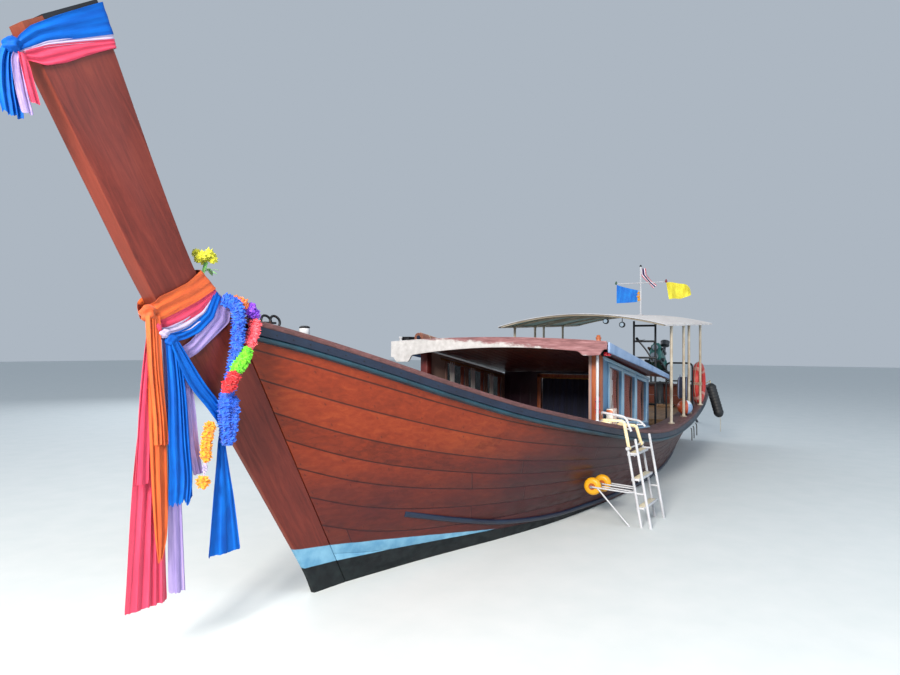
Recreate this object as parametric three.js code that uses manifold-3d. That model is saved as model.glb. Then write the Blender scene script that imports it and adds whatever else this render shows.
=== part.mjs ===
// Wooden longtail boat, afloat. Millimetres, +X to the bow, +Y to port, +Z up.
// The origin is on the waterline, on the centre plane, 5 m aft of the forefoot.
import * as THREE from 'three';
import { mergeVertices } from 'three/addons/utils/BufferGeometryUtils.js';
import Module from 'manifold-3d';

const wasm = await Module();
wasm.setup();

// General sizes
const GAP = 0.3;
const SKIN = 34;
const CAP = 40;
const RAIL = 45;
const SIDE_DECK = 205;
const DECK_SHARE = 0.4;
const DECK_INNER = 975;
const KEEL_HALF = 50;
const STEM_HALF = 58;
const WATERLINE_ROW = 0.4;

// Hull lines from stern to stem: x at the waterline, rake of the station (mm of x for each mm of z),
// keel height, half-breadth at the waterline, height of the sheer, half-breadth at the sheer
const LINES = [
  [-5000, 0.0, -100, 260, 1060, 880],
  [-4300, 0.0, -200, 400, 995, 975],
  [-3400, 0.0, -290, 560, 915, 1090],
  [-2400, 0.0, -350, 710, 835, 1185],
  [-1400, 0.0, -390, 840, 765, 1250],
  [-300, 0.0, -400, 910, 735, 1280],
  [750, 0.06, -400, 880, 800, 1270],
  [1650, 0.16, -380, 790, 945, 1215],
  [2400, 0.27, -340, 670, 1100, 1090],
  [3050, 0.356, -280, 510, 1265, 910],
  [3550, 0.447, -220, 360, 1455, 690],
  [4000, 0.486, -170, 230, 1645, 445],
  [4400, 0.5, -130, 130, 1795, 235],
  [4680, 0.565, -110, 62, 1900, 104],
];
const LAST = LINES.length - 1;

// Leading edge of the stem and prow, and the prow's after edge, as x and z
const STEM_FRONT = [[4960, -70], [5008, 30], [5097, 190], [5633, 980], [6297, 1955], [6893, 3017],
  [7010, 3225]];
const STEM_BACK = [[6575, 3444], [6488, 3239], [5947, 2141], [5800, 1990]];

// Cabin
const ROOF = { front: 2320, aft: -60, half: 1250, zFront: 1775, zAft: 1400, camber: 45, thick: 38 };
const WALL = { front: 1960, aft: -40, y: 985, thick: 32 };
const WINDOWS = [[1560, 1120], [1040, 600], [520, 100]];
const WINDOW_RISE = { sill: 85, head: 120 };
const DOOR = { left: 290, right: -430, head: 1380 };
const SOLE = 330;
const AFT_DECK = 620;

// Canopy
const CANOPY = { front: -220, aft: -3450, half: 1150, zFront: 2050, zAft: 2180, rise: 150, thick: 8 };
const POLES = [-680, -1430, -1780, -2620];

// Engine, its pivots and its long tail
const PIVOT = { x: -4780, z: 1260 };
const SHAFT_ANGLE = 0.377;
const SHAFT_RISE = 150;
const TAIL = { start: -120, length: 4180, radius: 24 };
const PROP = { radius: 160, hub: 30, length: 110 };
const TILLER = { length: 1750, radius: 17 };

// Boarding ladder
const LADDER = { fore: 2010, aft: 1500, hingeY: 1352, hingeZ: 745, lean: 0.178, foot: -215, rail: 13,
  strut: 330, steps: [690, 450, 180, -80] };
const ROLLER = { fore: 1000, aft: 1032, aftX: 1800, z: 345, radius: 88 };

// Ribbons: the sash round the prow's neck and the wrap round its head, as corners in X and Z
const SASH = [[6115, 1640], [6325, 1955], [5915, 2165], [5738, 1955]];
const HEAD_WRAP = [[6902, 2965], [6962, 3072], [6548, 3420], [6462, 3205]];
const RIBBON = 18;

// Tails that hang from the sash: x, y, height and width, from the knot down to the hem
const TAILS = [
  [[6300, 40, 1850, 40], [6330, 45, 1500, 100], [6345, 45, 310, 280]],
  [[6300, 66, 1880, 50], [6315, 72, 1300, 105], [6325, 72, 540, 125]],
  [[6225, 66, 1790, 40], [6200, 72, 1200, 80], [6150, 72, 340, 120]],
  [[6225, 96, 1780, 40], [6180, 100, 1300, 150], [6140, 100, 835, 180]],
  [[6200, 60, 1700, 40], [6110, 96, 1350, 90], [6070, 96, 970, 125]],
  [[6190, 98, 1760, 40], [5950, 104, 1290, 110], [5960, 104, 460, 200]],
];

const paint = (color, roughness = 0.6, metalness = 0) =>
  new THREE.MeshStandardMaterial({ color, roughness, metalness });
const HULL_WOOD = paint(0x8a3b1c, 0.4);
const CAP_WOOD = paint(0x6b4a38, 0.6);
const DECK_WOOD = paint(0x7a5a40, 0.7);
const NAVY = paint(0x1d3a5c, 0.5);
const WHITE = paint(0xdfe3e2, 0.4);
const STEEL = paint(0xb8bcc0, 0.3, 0.9);
const DARK_STEEL = paint(0x23262b, 0.5, 0.6);
const CREAM = paint(0xe9dfbf, 0.5);
const ENGINE_PAINT = paint(0x2f5f6f, 0.45, 0.3);
const BRONZE = paint(0xb08d4a, 0.3, 0.9);
const ORANGE = paint(0xd8431f, 0.5);
const YELLOW = paint(0xe0b21a, 0.5);
const CLOTH = paint(0x2f78c8, 0.9);

const boat = new THREE.Group();

// Booleans
function solid(geometry) {
  const bare = geometry.clone();
  for (const name of Object.keys(bare.attributes)) {
    if (name !== 'position') bare.deleteAttribute(name);
  }
  const merged = mergeVertices(bare, 1e-3);
  return new wasm.Manifold(new wasm.Mesh({
    numProp: 3,
    vertProperties: new Float32Array(merged.attributes.position.array),
    triVerts: new Uint32Array(merged.index.array),
  }));
}

function shape(body) {
  const mesh = body.getMesh();
  const geometry = new THREE.BufferGeometry();
  geometry.setAttribute('position', new THREE.BufferAttribute(new Float32Array(mesh.vertProperties), 3));
  geometry.setIndex(new THREE.BufferAttribute(new Uint32Array(mesh.triVerts), 1));
  geometry.computeVertexNormals();
  return geometry;
}

function join(...bodies) {
  return bodies.flat().reduce((whole, body) => whole.add(body));
}

function put(name, body, material, parent = boat) {
  const mesh = new THREE.Mesh(shape(body), material);
  mesh.name = name;
  parent.add(mesh);
  return mesh;
}

// Basic solids
function box(x0, x1, y0, y1, z0, z1) {
  const geometry = new THREE.BoxGeometry(x1 - x0, y1 - y0, z1 - z0);
  geometry.translate((x0 + x1) / 2, (y0 + y1) / 2, (z0 + z1) / 2);
  return solid(geometry);
}

function rod(from, to, radius, sides = 8, endRadius = radius) {
  const a = new THREE.Vector3(...from);
  const b = new THREE.Vector3(...to);
  const geometry = new THREE.CylinderGeometry(endRadius, radius, a.distanceTo(b), sides);
  const up = new THREE.Vector3(0, 1, 0);
  geometry.applyQuaternion(new THREE.Quaternion().setFromUnitVectors(up, b.clone().sub(a).normalize()));
  geometry.translate((a.x + b.x) / 2, (a.y + b.y) / 2, (a.z + b.z) / 2);
  return solid(geometry);
}

// A closed solid through rings of equal count. An even ring runs out along one side and back along the
// other, so its caps are rungs between the two sides; an odd ring gets a fan from its centre
function loft(rings) {
  const n = rings[0].length;
  const points = rings.flat().flat();
  const index = [];
  for (let i = 0; i + 1 < rings.length; i++) {
    for (let j = 0; j < n; j++) {
      const a = i * n + j;
      const b = i * n + (j + 1) % n;
      index.push(a, b, a + n, b, b + n, a + n);
    }
  }
  const top = (rings.length - 1) * n;
  if (n % 2 === 0) {
    for (let j = 0; j + 1 < n / 2; j++) {
      const [a, b, c, d] = [j, j + 1, n - 2 - j, n - 1 - j];
      index.push(a, c, b, a, d, c);
      index.push(top + a, top + b, top + c, top + a, top + c, top + d);
    }
  } else {
    const centre = ring => [0, 1, 2].map(k => ring.reduce((sum, p) => sum + p[k], 0) / n);
    const first = points.length / 3;
    points.push(...centre(rings[0]), ...centre(rings[rings.length - 1]));
    for (let j = 0; j < n; j++) {
      index.push(first, (j + 1) % n, j);
      index.push(first + 1, top + j, top + (j + 1) % n);
    }
  }
  const geometry = new THREE.BufferGeometry();
  geometry.setAttribute('position', new THREE.BufferAttribute(new Float32Array(points), 3));
  geometry.setIndex(index);
  let body = solid(geometry);
  if (body.volume() < 0) {
    for (let i = 0; i < index.length; i += 3) {
      [index[i], index[i + 1]] = [index[i + 1], index[i]];
    }
    geometry.setIndex(index);
    body = solid(geometry);
  }
  return body;
}

// A bent tube with mitred corners
function pipe(points, radius, sides = 8) {
  const path = points.map(p => new THREE.Vector3(...p));
  const way = i => path[i + 1].clone().sub(path[i]).normalize();
  const start = way(0);
  const side = new THREE.Vector3(start.z, start.x, start.y).cross(start).normalize();
  const other = start.clone().cross(side);
  let ring = [];
  for (let j = 0; j < sides; j++) {
    const turn = 2 * Math.PI * j / sides;
    ring.push(path[0].clone().addScaledVector(side, radius * Math.cos(turn))
      .addScaledVector(other, radius * Math.sin(turn)));
  }
  const rings = [ring];
  for (let i = 1; i < path.length; i++) {
    const before = way(i - 1);
    const after = i + 1 < path.length ? way(i) : before;
    const plane = before.clone().add(after).normalize();
    ring = ring.map(p => {
      const far = path[i].clone().sub(p).dot(plane) / before.dot(plane);
      return p.clone().addScaledVector(before, far);
    });
    rings.push(ring);
  }
  return loft(rings.map(r => r.map(p => p.toArray())));
}

// An outline in X and Z, spread along Y
function plate(outline, y0, y1) {
  const flat = new THREE.Shape(outline.map(p => new THREE.Vector2(p[0], p[1])));
  const geometry = new THREE.ExtrudeGeometry(flat, { depth: y1 - y0, bevelEnabled: false });
  geometry.rotateX(Math.PI / 2);
  geometry.translate(0, y1, 0);
  return solid(geometry);
}

// Hull form
function station(u) {
  const i = Math.min(Math.max(Math.floor(u), 0), LAST - 1);
  const t = u - i;
  const row = k => {
    if (k < 0) return LINES[0].map((v, c) => 2 * v - LINES[1][c]);
    if (k > LAST) return LINES[LAST].map((v, c) => 2 * v - LINES[LAST - 1][c]);
    return LINES[k];
  };
  const [p0, p1, p2, p3] = [row(i - 1), row(i), row(i + 1), row(i + 2)];
  const v = p1.map((_, c) => 0.5 * (2 * p1[c] + (p2[c] - p0[c]) * t
    + (2 * p0[c] - 5 * p1[c] + 4 * p2[c] - p3[c]) * t * t
    + (3 * p1[c] - p0[c] - 3 * p2[c] + p3[c]) * t ** 3));
  return { x: v[0], rake: v[1], keel: v[2], water: v[3], sheer: v[4], half: v[5] };
}

// Half-breadth and height of the planking at station u, row v from keel to sheer
function skin(u, v) {
  const s = station(u);
  const top = s.sheer - CAP;
  const edge = s.half - RAIL;
  let a;
  let b;
  let c;
  let t;
  if (v <= WATERLINE_ROW) {
    t = v / WATERLINE_ROW;
    const slope = (edge - s.water) / top;
    a = [Math.min(KEEL_HALF, s.water), s.keel];
    c = [s.water, 0];
    b = [Math.max(s.water + slope * s.keel * 0.8 - 20, a[0] + 0.4 * (s.water - a[0])), s.keel * 0.8];
  } else {
    t = (v - WATERLINE_ROW) / (1 - WATERLINE_ROW);
    a = [s.water, 0];
    b = [s.water + (edge - s.water) * 0.45, top / 2];
    c = [edge, top];
  }
  const mix = k => (1 - t) ** 2 * a[k] + 2 * t * (1 - t) * b[k] + t * t * c[k];
  return { y: mix(0), z: mix(1), x: s.x + s.rake * mix(1), rake: s.rake };
}

// Station number and planking half-breadth at a place
function stationAt(x, z) {
  let low = 0;
  let high = LAST;
  for (let i = 0; i < 40; i++) {
    const mid = (low + high) / 2;
    const s = station(mid);
    if (s.x + s.rake * z < x) low = mid;
    else high = mid;
  }
  return low;
}

function sheerAt(x) {
  let z = 1000;
  for (let i = 0; i < 12; i++) z = station(stationAt(x, z)).sheer;
  const s = station(stationAt(x, z));
  return { z: s.sheer, y: s.half };
}

const ROWS = [0, 0.1, 0.2, 0.3, 0.4, 0.52, 0.64, 0.76, 0.88, 1];
const STATIONS = Array.from({ length: 2 * LAST + 1 }, (_, i) => i / 2);

// Closed solid of the planking's form, moved out (or in) by an offset, and raised over the sheer
function form(offset, rise, from = 0, to = LAST) {
  const us = STATIONS.filter(u => u >= from && u <= to);
  return loft(us.map((u, k) => {
    const half = ROWS.map(v => {
      const p = skin(u, v);
      const lift = offset * 1.4 * (v - 1);
      return [p.x + p.rake * lift, Math.max(p.y + offset, 9), p.z + lift];
    });
    const top = half[half.length - 1];
    half.push([top[0] + station(u).rake * rise, top[1] + rise * 0.12, top[2] + rise]);
    const slide = k === 0 ? -offset : k === us.length - 1 ? offset : 0;
    const port = half.map(p => [p[0] + slide, p[1], p[2]]);
    return [...port, ...port.slice().reverse().map(p => [p[0], -p[1], p[2]])];
  }));
}

const OUTSIDE = form(2 * GAP, 1);
const INSIDE = form(-SKIN, 600, 0, LAST - 0.5);
const HOLD = form(-SKIN - 0.4, 600, 0, LAST - 0.5);

function hullShell() {
  const whole = form(0, 0.01);
  return whole.subtract(INSIDE);
}
put('hull_shell', hullShell(), HULL_WOOD);

const seam = z => LINES[LAST][0] + LINES[LAST][1] * z + 0.5;
const STEM_OUTLINE = [[seam(LINES[LAST][2]), LINES[LAST][2]], [4880, -120], ...STEM_FRONT, ...STEM_BACK,
  [seam(1905), 1905]];
put('stem_post', plate(STEM_OUTLINE, -STEM_HALF, STEM_HALF), HULL_WOOD);
const STEM_CLEAR = STEM_HALF + GAP;
const stemMoved = shift => plate(STEM_OUTLINE.map(([x, z]) => [x + shift, z]), -STEM_CLEAR, STEM_CLEAR);
const STEM_SEAT = join(stemMoved(-2 * GAP), stemMoved(2 * GAP));

// A strip that follows the sheer. Each corner is [edge, out, up]: edge 0 is the sheer's half-breadth
// and edge 1 is the inner edge of the side deck
function along(corners, side, from = 0, to = LAST) {
  const us = STATIONS.filter(u => u >= from && u <= to);
  return loft(us.map(u => corners.map(([edge, out, up]) => {
    const s = station(u);
    const z = s.sheer + up;
    const inner = Math.min(Math.max(s.half - SIDE_DECK, DECK_SHARE * s.half), DECK_INNER);
    return [s.x + s.rake * z, side * ((edge ? inner : s.half) + out), z];
  })));
}

const gunwale = side => along([[0, 0, 0], [1, 0, 0], [1, 0, -CAP + GAP], [0, 0, -CAP + GAP]], side);
const gunwaleSeat = side => along([[0, 30, GAP], [1, -GAP, GAP], [1, -GAP, -CAP], [0, 30, -CAP]], side);
const GUNWALE_SEAT = join(gunwaleSeat(1), gunwaleSeat(-1));
put('gunwale_port', gunwale(1), CAP_WOOD);
put('gunwale_starboard', gunwale(-1), CAP_WOOD);

function transomCap() {
  const s = station(0);
  const inner = s.half - SIDE_DECK - GAP;
  return box(s.x, s.x + 130, -inner, inner, s.sheer - CAP + GAP, s.sheer);
}
put('transom_cap', transomCap(), CAP_WOOD);

function rubRail(side) {
  const under = -CAP - GAP;
  const low = under - 88;
  const corners = [[0, -4, under], [0, -RAIL - 12, under], [0, -RAIL - 34, low], [0, -20, low],
    [0, -4, under - 60]];
  return along(corners, side).subtract(OUTSIDE);
}
put('rub_rail_port', rubRail(1), NAVY);
put('rub_rail_starboard', rubRail(-1), NAVY);

// Low rubbing strake, from the quarter to the bow
const STRAKE_PATH = [[-3600, 60], [-1200, 50], [400, 60], [1700, 75], [2400, 95], [3080, 165], [3640, 280],
  [4230, 430]];
function strake(side) {
  const curve = new THREE.SplineCurve(STRAKE_PATH.map(p => new THREE.Vector2(...p)));
  const rings = curve.getPoints(18).map(p => {
    const ring = [];
    for (const [out, up] of [[-14, -26], [26, -20], [26, 14], [-14, 22]]) {
      const z = p.y + up;
      const s = station(stationAt(p.x, z));
      const t = z / (s.sheer - CAP);
      const edge = s.half - RAIL;
      const middle = s.water + (edge - s.water) * 0.45;
      const y = (1 - t) ** 2 * s.water + 2 * t * (1 - t) * middle + t * t * edge;
      ring.push([p.x, side * (y + out), z]);
    }
    return ring;
  });
  return loft(rings).subtract(OUTSIDE);
}
put('strake_port', strake(1), NAVY);
put('strake_starboard', strake(-1), NAVY);

// Decks inside the hull
put('cabin_sole', box(-2300, 3900, -1300, 1300, SOLE - 28, SOLE).intersect(HOLD), DECK_WOOD);
put('aft_deck', box(-4960, -2300 - GAP, -1300, 1300, AFT_DECK - 30, AFT_DECK)
  .add(box(-2330 - GAP, -2300 - GAP, -1300, 1300, SOLE, AFT_DECK)).intersect(HOLD), DECK_WOOD);

const DECK_DROP = CAP + 2;
function foredeckBand(lift, thick) {
  const us = STATIONS.filter(u => u >= 10.5 && u <= LAST - 0.5);
  return loft(us.map(u => {
    const s = station(u);
    return [[900, 0], [-900, 0], [-900, -thick], [900, -thick]].map(([y, dz]) => {
      const z = s.sheer - DECK_DROP + lift + dz;
      return [s.x + s.rake * z, y, z];
    });
  }));
}
const DECK_SEAT = foredeckBand(GAP, 100);

function foredeck() {
  const s = station(10.5);
  const x = s.x + s.rake * (s.sheer - CAP);
  const riser = box(x - 10, x + 20, -900, 900, SOLE + GAP, s.sheer - CAP - 10);
  return foredeckBand(0, 24).add(riser).intersect(HOLD);
}
put('foredeck', foredeck(), DECK_WOOD);

// Bow fittings
const deckAt = x => sheerAt(x).z - DECK_DROP - 30;
put('bollard', rod([5140, 60, deckAt(5140)], [5140, 60, 1855], 36, 16).subtract(DECK_SEAT), WHITE);

function bowRing() {
  const lobe = x => {
    const ring = new THREE.TorusGeometry(44, 9, 6, 14);
    ring.rotateX(Math.PI / 2);
    ring.translate(x, -60, 1872);
    return solid(ring);
  };
  const stalk = rod([5340, -60, deckAt(5340)], [5340, -60, 1850], 12);
  return join(lobe(5300), lobe(5380), stalk).subtract(DECK_SEAT);
}
put('bow_ring', bowRing(), DARK_STEEL);

// Cabin roof
const roofZ = x => ROOF.zAft + (ROOF.zFront - ROOF.zAft) * (x - ROOF.aft) / (ROOF.front - ROOF.aft);
function roofBand(x0, x1, top, bottom, half) {
  const steps = 8;
  const ring = x => {
    const over = [];
    const under = [];
    for (let i = 0; i <= steps; i++) {
      const y = half * (1 - 2 * i / steps);
      const crown = roofZ(x) + ROOF.camber * (1 - (y / ROOF.half) ** 2);
      over.push([x, y, crown + top]);
      under.unshift([x, y, crown + bottom]);
    }
    return [...over, ...under];
  };
  return loft([ring(x0), ring(x1)]);
}
put('cabin_roof', roofBand(ROOF.aft, ROOF.front, 0, -ROOF.thick, ROOF.half), CAP_WOOD);

function fascia() {
  const front = ROOF.front + 26;
  const board = roofBand(ROOF.front + GAP, front, 6, -105, ROOF.half);
  const ear = y => box(ROOF.front + GAP, front, y - 80, y + 80, 1590, 1700);
  return join(board, ear(1160), ear(-1160));
}
put('roof_fascia', fascia(), WHITE);

// Side walls with windows cut, standing on the side deck
function sideWall(side) {
  const y0 = side * WALL.y;
  const y1 = side * (WALL.y + WALL.thick);
  const [low, high] = y0 < y1 ? [y0, y1] : [y1, y0];
  const foot = x => sheerAt(x).z - CAP / 2;
  const head = x => roofZ(x) - 40;
  const xs = [WALL.aft, 300, 650, 1000, 1350, 1700, WALL.front];
  const outline = [...xs.map(x => [x, foot(x)]), ...xs.slice().reverse().map(x => [x, head(x)])];
  let wall = plate(outline, low, high);
  for (const [fore, aft] of WINDOWS) {
    const hole = [[aft, foot(aft) + WINDOW_RISE.sill], [fore, foot(fore) + WINDOW_RISE.sill],
      [fore, roofZ(fore) - WINDOW_RISE.head], [aft, roofZ(aft) - WINDOW_RISE.head]];
    wall = wall.subtract(plate(hole, low - 10, high + 10));
  }
  return wall;
}
const ROOF_UNDER = roofBand(ROOF.aft - 100, ROOF.front + 100, 900, -ROOF.thick - GAP, ROOF.half);
function fitted(body) {
  return body.subtract(ROOF_UNDER).subtract(GUNWALE_SEAT);
}

function cornerPost(side) {
  const y = side * (WALL.y + WALL.thick / 2);
  const x = WALL.front + 45;
  return box(x - 50, x + 40, y - 34, y + 34, sheerAt(x - 40).z - CAP / 2, 1900);
}
put('side_wall_port', fitted(sideWall(1).add(cornerPost(1))), NAVY);
put('side_wall_starboard', fitted(sideWall(-1).add(cornerPost(-1))), NAVY);

// Bulkhead with its doorway, behind the cabin
function bulkhead() {
  const half = WALL.y - GAP;
  const board = box(WALL.aft, WALL.aft + 30, -half, half, SOLE + GAP, 1900);
  const door = box(WALL.aft - 10, WALL.aft + 50, DOOR.right, DOOR.left, 0, DOOR.head);
  return board.subtract(door).subtract(ROOF_UNDER).subtract(GUNWALE_SEAT);
}
put('aft_bulkhead', bulkhead(), CAP_WOOD);

// Benches along the sides, standing on the sole
function bench(side) {
  const [y0, y1] = side > 0 ? [560, 900] : [-900, -560];
  const seat = box(60, 1900, y0, y1, 610, 640);
  const leg = x => box(x - 20, x + 20, side * 600 - 20, side * 600 + 20, SOLE + GAP, 615);
  const legs = [90, 980, 1840].map(leg);
  return join(seat, legs).intersect(HOLD);
}
put('bench_port', bench(1), DECK_WOOD);
put('bench_starboard', bench(-1), DECK_WOOD);

// Curtains inside the windows
function curtain(side) {
  const y = side * (WALL.y - 9 - GAP);
  const rail = rod([60, y, 1330], [1700, y, 1590], 9, 6);
  const drops = WINDOWS.map(([fore]) => {
    const top = 1330 + (fore - 60) * 260 / 1640;
    return box(fore - 190, fore - 40, y - 8, y + 8, sheerAt(fore).z + 60, top);
  });
  return join(rail, drops);
}
put('curtains_port', curtain(1), CLOTH);
put('curtains_starboard', curtain(-1), CLOTH);

// Canopy cover, a crowned sheet, and the frame of tubes under it
const CANOPY_SLOPE = (CANOPY.zAft - CANOPY.zFront) / (CANOPY.aft - CANOPY.front);
const canopyEdge = x => CANOPY.zFront + CANOPY_SLOPE * (x - CANOPY.front);
function canopyBand(x0, x1, lift, thick, half) {
  const steps = 12;
  const ring = x => {
    const over = [];
    const under = [];
    for (let i = 0; i <= steps; i++) {
      const y = half * (1 - 2 * i / steps);
      const z = canopyEdge(x) + CANOPY.rise * (1 - (y / CANOPY.half) ** 2) + lift;
      over.push([x, y, z]);
      under.unshift([x, y, z - thick]);
    }
    return [...over, ...under];
  };
  return loft([ring(x0), ring(x1)]);
}
put('canopy_cover', canopyBand(CANOPY.aft + 30, CANOPY.front, 0, CANOPY.thick, CANOPY.half + 40), WHITE);

const canopySpace = (lift, thick) => canopyBand(CANOPY.aft - 200, CANOPY.front + 200, lift, thick,
  CANOPY.half + 40);
const CANOPY_UNDER = canopySpace(400, 400 + CANOPY.thick + GAP);
const CANOPY_TOP = canopySpace(GAP, 400);
function canopyFrame() {
  const tube = 15;
  const drop = CANOPY.thick + tube - 2;
  const under = x => y => canopyEdge(x) + CANOPY.rise * (1 - (y / CANOPY.half) ** 2) - drop;
  const parts = [];
  for (const x of [CANOPY.front - 20, ...POLES, CANOPY.aft + 50]) {
    const arch = [];
    for (let i = 0; i <= 8; i++) {
      const y = CANOPY.half * (1 - i / 4);
      arch.push([x, y, under(x)(y)]);
    }
    parts.push(pipe(arch, tube, 8));
  }
  for (const side of [1, -1]) {
    const y = side * CANOPY.half;
    const [x0, x1] = [CANOPY.aft + 50, CANOPY.front - 20];
    parts.push(rod([x0, y, under(x0)(y)], [x1, y, under(x1)(y)], tube));
    for (const x of POLES) {
      const seat = sheerAt(x);
      parts.push(rod([x, y, seat.z + GAP], [x, y, under(x)(y)], 19, 10));
      parts.push(rod([x, y, seat.z + GAP], [x, y, seat.z + 12], 45, 10));
    }
  }
  return join(parts).subtract(CANOPY_UNDER).subtract(GUNWALE_SEAT);
}
put('canopy_frame', canopyFrame(), WHITE);

// Mast with its yard, on the canopy's after arch
const MAST = { x: CANOPY.aft + 50, foot: 0, top: 3220, yard: 2895 };
MAST.foot = canopyEdge(MAST.x) + CANOPY.rise;
function mast() {
  return join(rod([MAST.x, 0, MAST.foot], [MAST.x, 0, MAST.top], 16, 10),
    rod([MAST.x, 0, MAST.foot], [MAST.x, 0, MAST.foot + 10], 55, 12),
    rod([MAST.x, -440, MAST.yard], [MAST.x, 440, MAST.yard], 10, 8)).subtract(CANOPY_TOP);
}
put('mast', mast(), WHITE);

// Flags hang from the yard and fly from the mast
function flag(y0, y1, top, drop) {
  return box(MAST.x - 4, MAST.x + 4, y0, y1, top - drop, top);
}
const UNDER_YARD = MAST.yard - 10 - GAP;
put('flag_blue', flag(-430, -50, UNDER_YARD, 340), CLOTH);
put('flag_yellow', flag(440 + GAP, 860, MAST.yard + 8, 300), YELLOW);
put('flag_striped', flag(16 + GAP, 180, MAST.yard + 270, 240), WHITE);

// Guard rails beside the helm, on the side decks
function guardRail(side) {
  const x = -2350;
  const seat = sheerAt(x);
  const parts = [pipe([[x, side * 690, AFT_DECK + GAP], [x, side * 690, 1510], [x, side * 1020, 1510],
    [x, side * 1085, 1450], [x, side * 1085, seat.z + GAP]], 14)];
  parts.push(rod([x, side * 690, 1230], [x, side * 1085, 1230], 11));
  return join(parts).subtract(GUNWALE_SEAT);
}
put('guard_rail_port', guardRail(1), DARK_STEEL);
put('guard_rail_starboard', guardRail(-1), DARK_STEEL);

// Short ladder from the after deck up to the roof
function roofLadder() {
  const x = -1000;
  const parts = [560, 860].map(y => rod([x, y, SOLE + GAP], [x, y, 2120], 15));
  for (const z of [650, 950, 1250, 1600, 1830, 2050]) {
    parts.push(box(x - 20, x + 20, 550, 870, z - 14, z + 14));
  }
  return join(parts).subtract(CANOPY_UNDER);
}
put('roof_ladder', roofLadder(), DARK_STEEL);

function ring(x, y, z, radius, thick) {
  const geometry = new THREE.TorusGeometry(radius, thick, 8, 24);
  geometry.rotateX(Math.PI / 2);
  geometry.translate(x, y, z);
  return solid(geometry);
}
put('lifebuoy', ring(-2900, CANOPY.half - 18 - 56, 1215, 275, 56), ORANGE);

function ball(x, y, z, radius) {
  const geometry = new THREE.SphereGeometry(radius, 16, 10);
  geometry.translate(x, y, z);
  return solid(geometry);
}
put('ball_float', ball(-1600, 1130, sheerAt(-1600).z + 104, 108).subtract(GUNWALE_SEAT), ORANGE);
function fender() {
  const x = -3600;
  const hook = sheerAt(x);
  const top = 1150;
  return join(rod([x, 1125, top], [x, 1262, 590], 82, 14),
    box(x - 25, x + 25, hook.y - 120, hook.y - 30, hook.z - 20, hook.z + 16),
    pipe([[x, hook.y - 80, hook.z + 6], [x, hook.y - 70, hook.z + 170], [x, 1120, top + 45],
      [x, 1128, top - 20]], 9, 8)).subtract(GUNWALE_SEAT);
}
put('fender', fender(), DARK_STEEL);

// On the roof: a roll of canvas and a small vent box with its post
const roofTop = (x, y) => roofZ(x) + ROOF.camber * (1 - (y / ROOF.half) ** 2);
const ROOF_SEAT = roofBand(ROOF.aft - 100, ROOF.front + 100, GAP, -200, ROOF.half);
const rollEnd = x => [x, -1030, roofTop(x, -1030) + 58];
put('roof_roll', rod(rollEnd(2180), rollEnd(1500), 60, 14).subtract(ROOF_SEAT), CAP_WOOD);
const ventBox = box(2060, 2200, -1210, -1110, roofTop(2130, -1120) - 40, 1870);
put('roof_box', ventBox.subtract(ROOF_SEAT), DARK_STEEL);

// Frame that carries the boarding ladder over the gunwale, with the ladder's hinge pin
function ladderFrame() {
  const parts = [];
  for (const [x, inward] of [[LADDER.fore, -38], [LADDER.aft, 38]]) {
    const sheer = sheerAt(x);
    const deck = sheer.z + 14;
    const arm = x + inward;
    parts.push(box(x - 45, x + 45, 1040, sheer.y - 5, sheer.z - 20, deck + 10));
    parts.push(box(arm - 16, arm + 16, sheer.y - 40, 1290, deck - 8, deck + 14));
    const hinge = [arm, LADDER.hingeY - 1, LADDER.hingeZ - 4];
    parts.push(pipe([[arm, 1270, deck + 3], [arm, 1300, deck + 1], hinge], 14));
    parts.push(pipe([[x, 1075, deck], [x, 1075, deck + 95], [x, 1330, deck + 60],
      [x, LADDER.hingeY + 34, LADDER.hingeZ + 168]], 12));
    parts.push(rod([x, 1378, LADDER.hingeZ + 190], [arm, 1312, LADDER.hingeZ + 190], 9));
  }
  const pin = x => [x, LADDER.hingeY, LADDER.hingeZ];
  parts.push(rod(pin(LADDER.aft - 20), pin(LADDER.fore + 20), 8, 16));
  return join(parts).subtract(GUNWALE_SEAT);
}
put('ladder_frame', ladderFrame(), CREAM);

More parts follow.
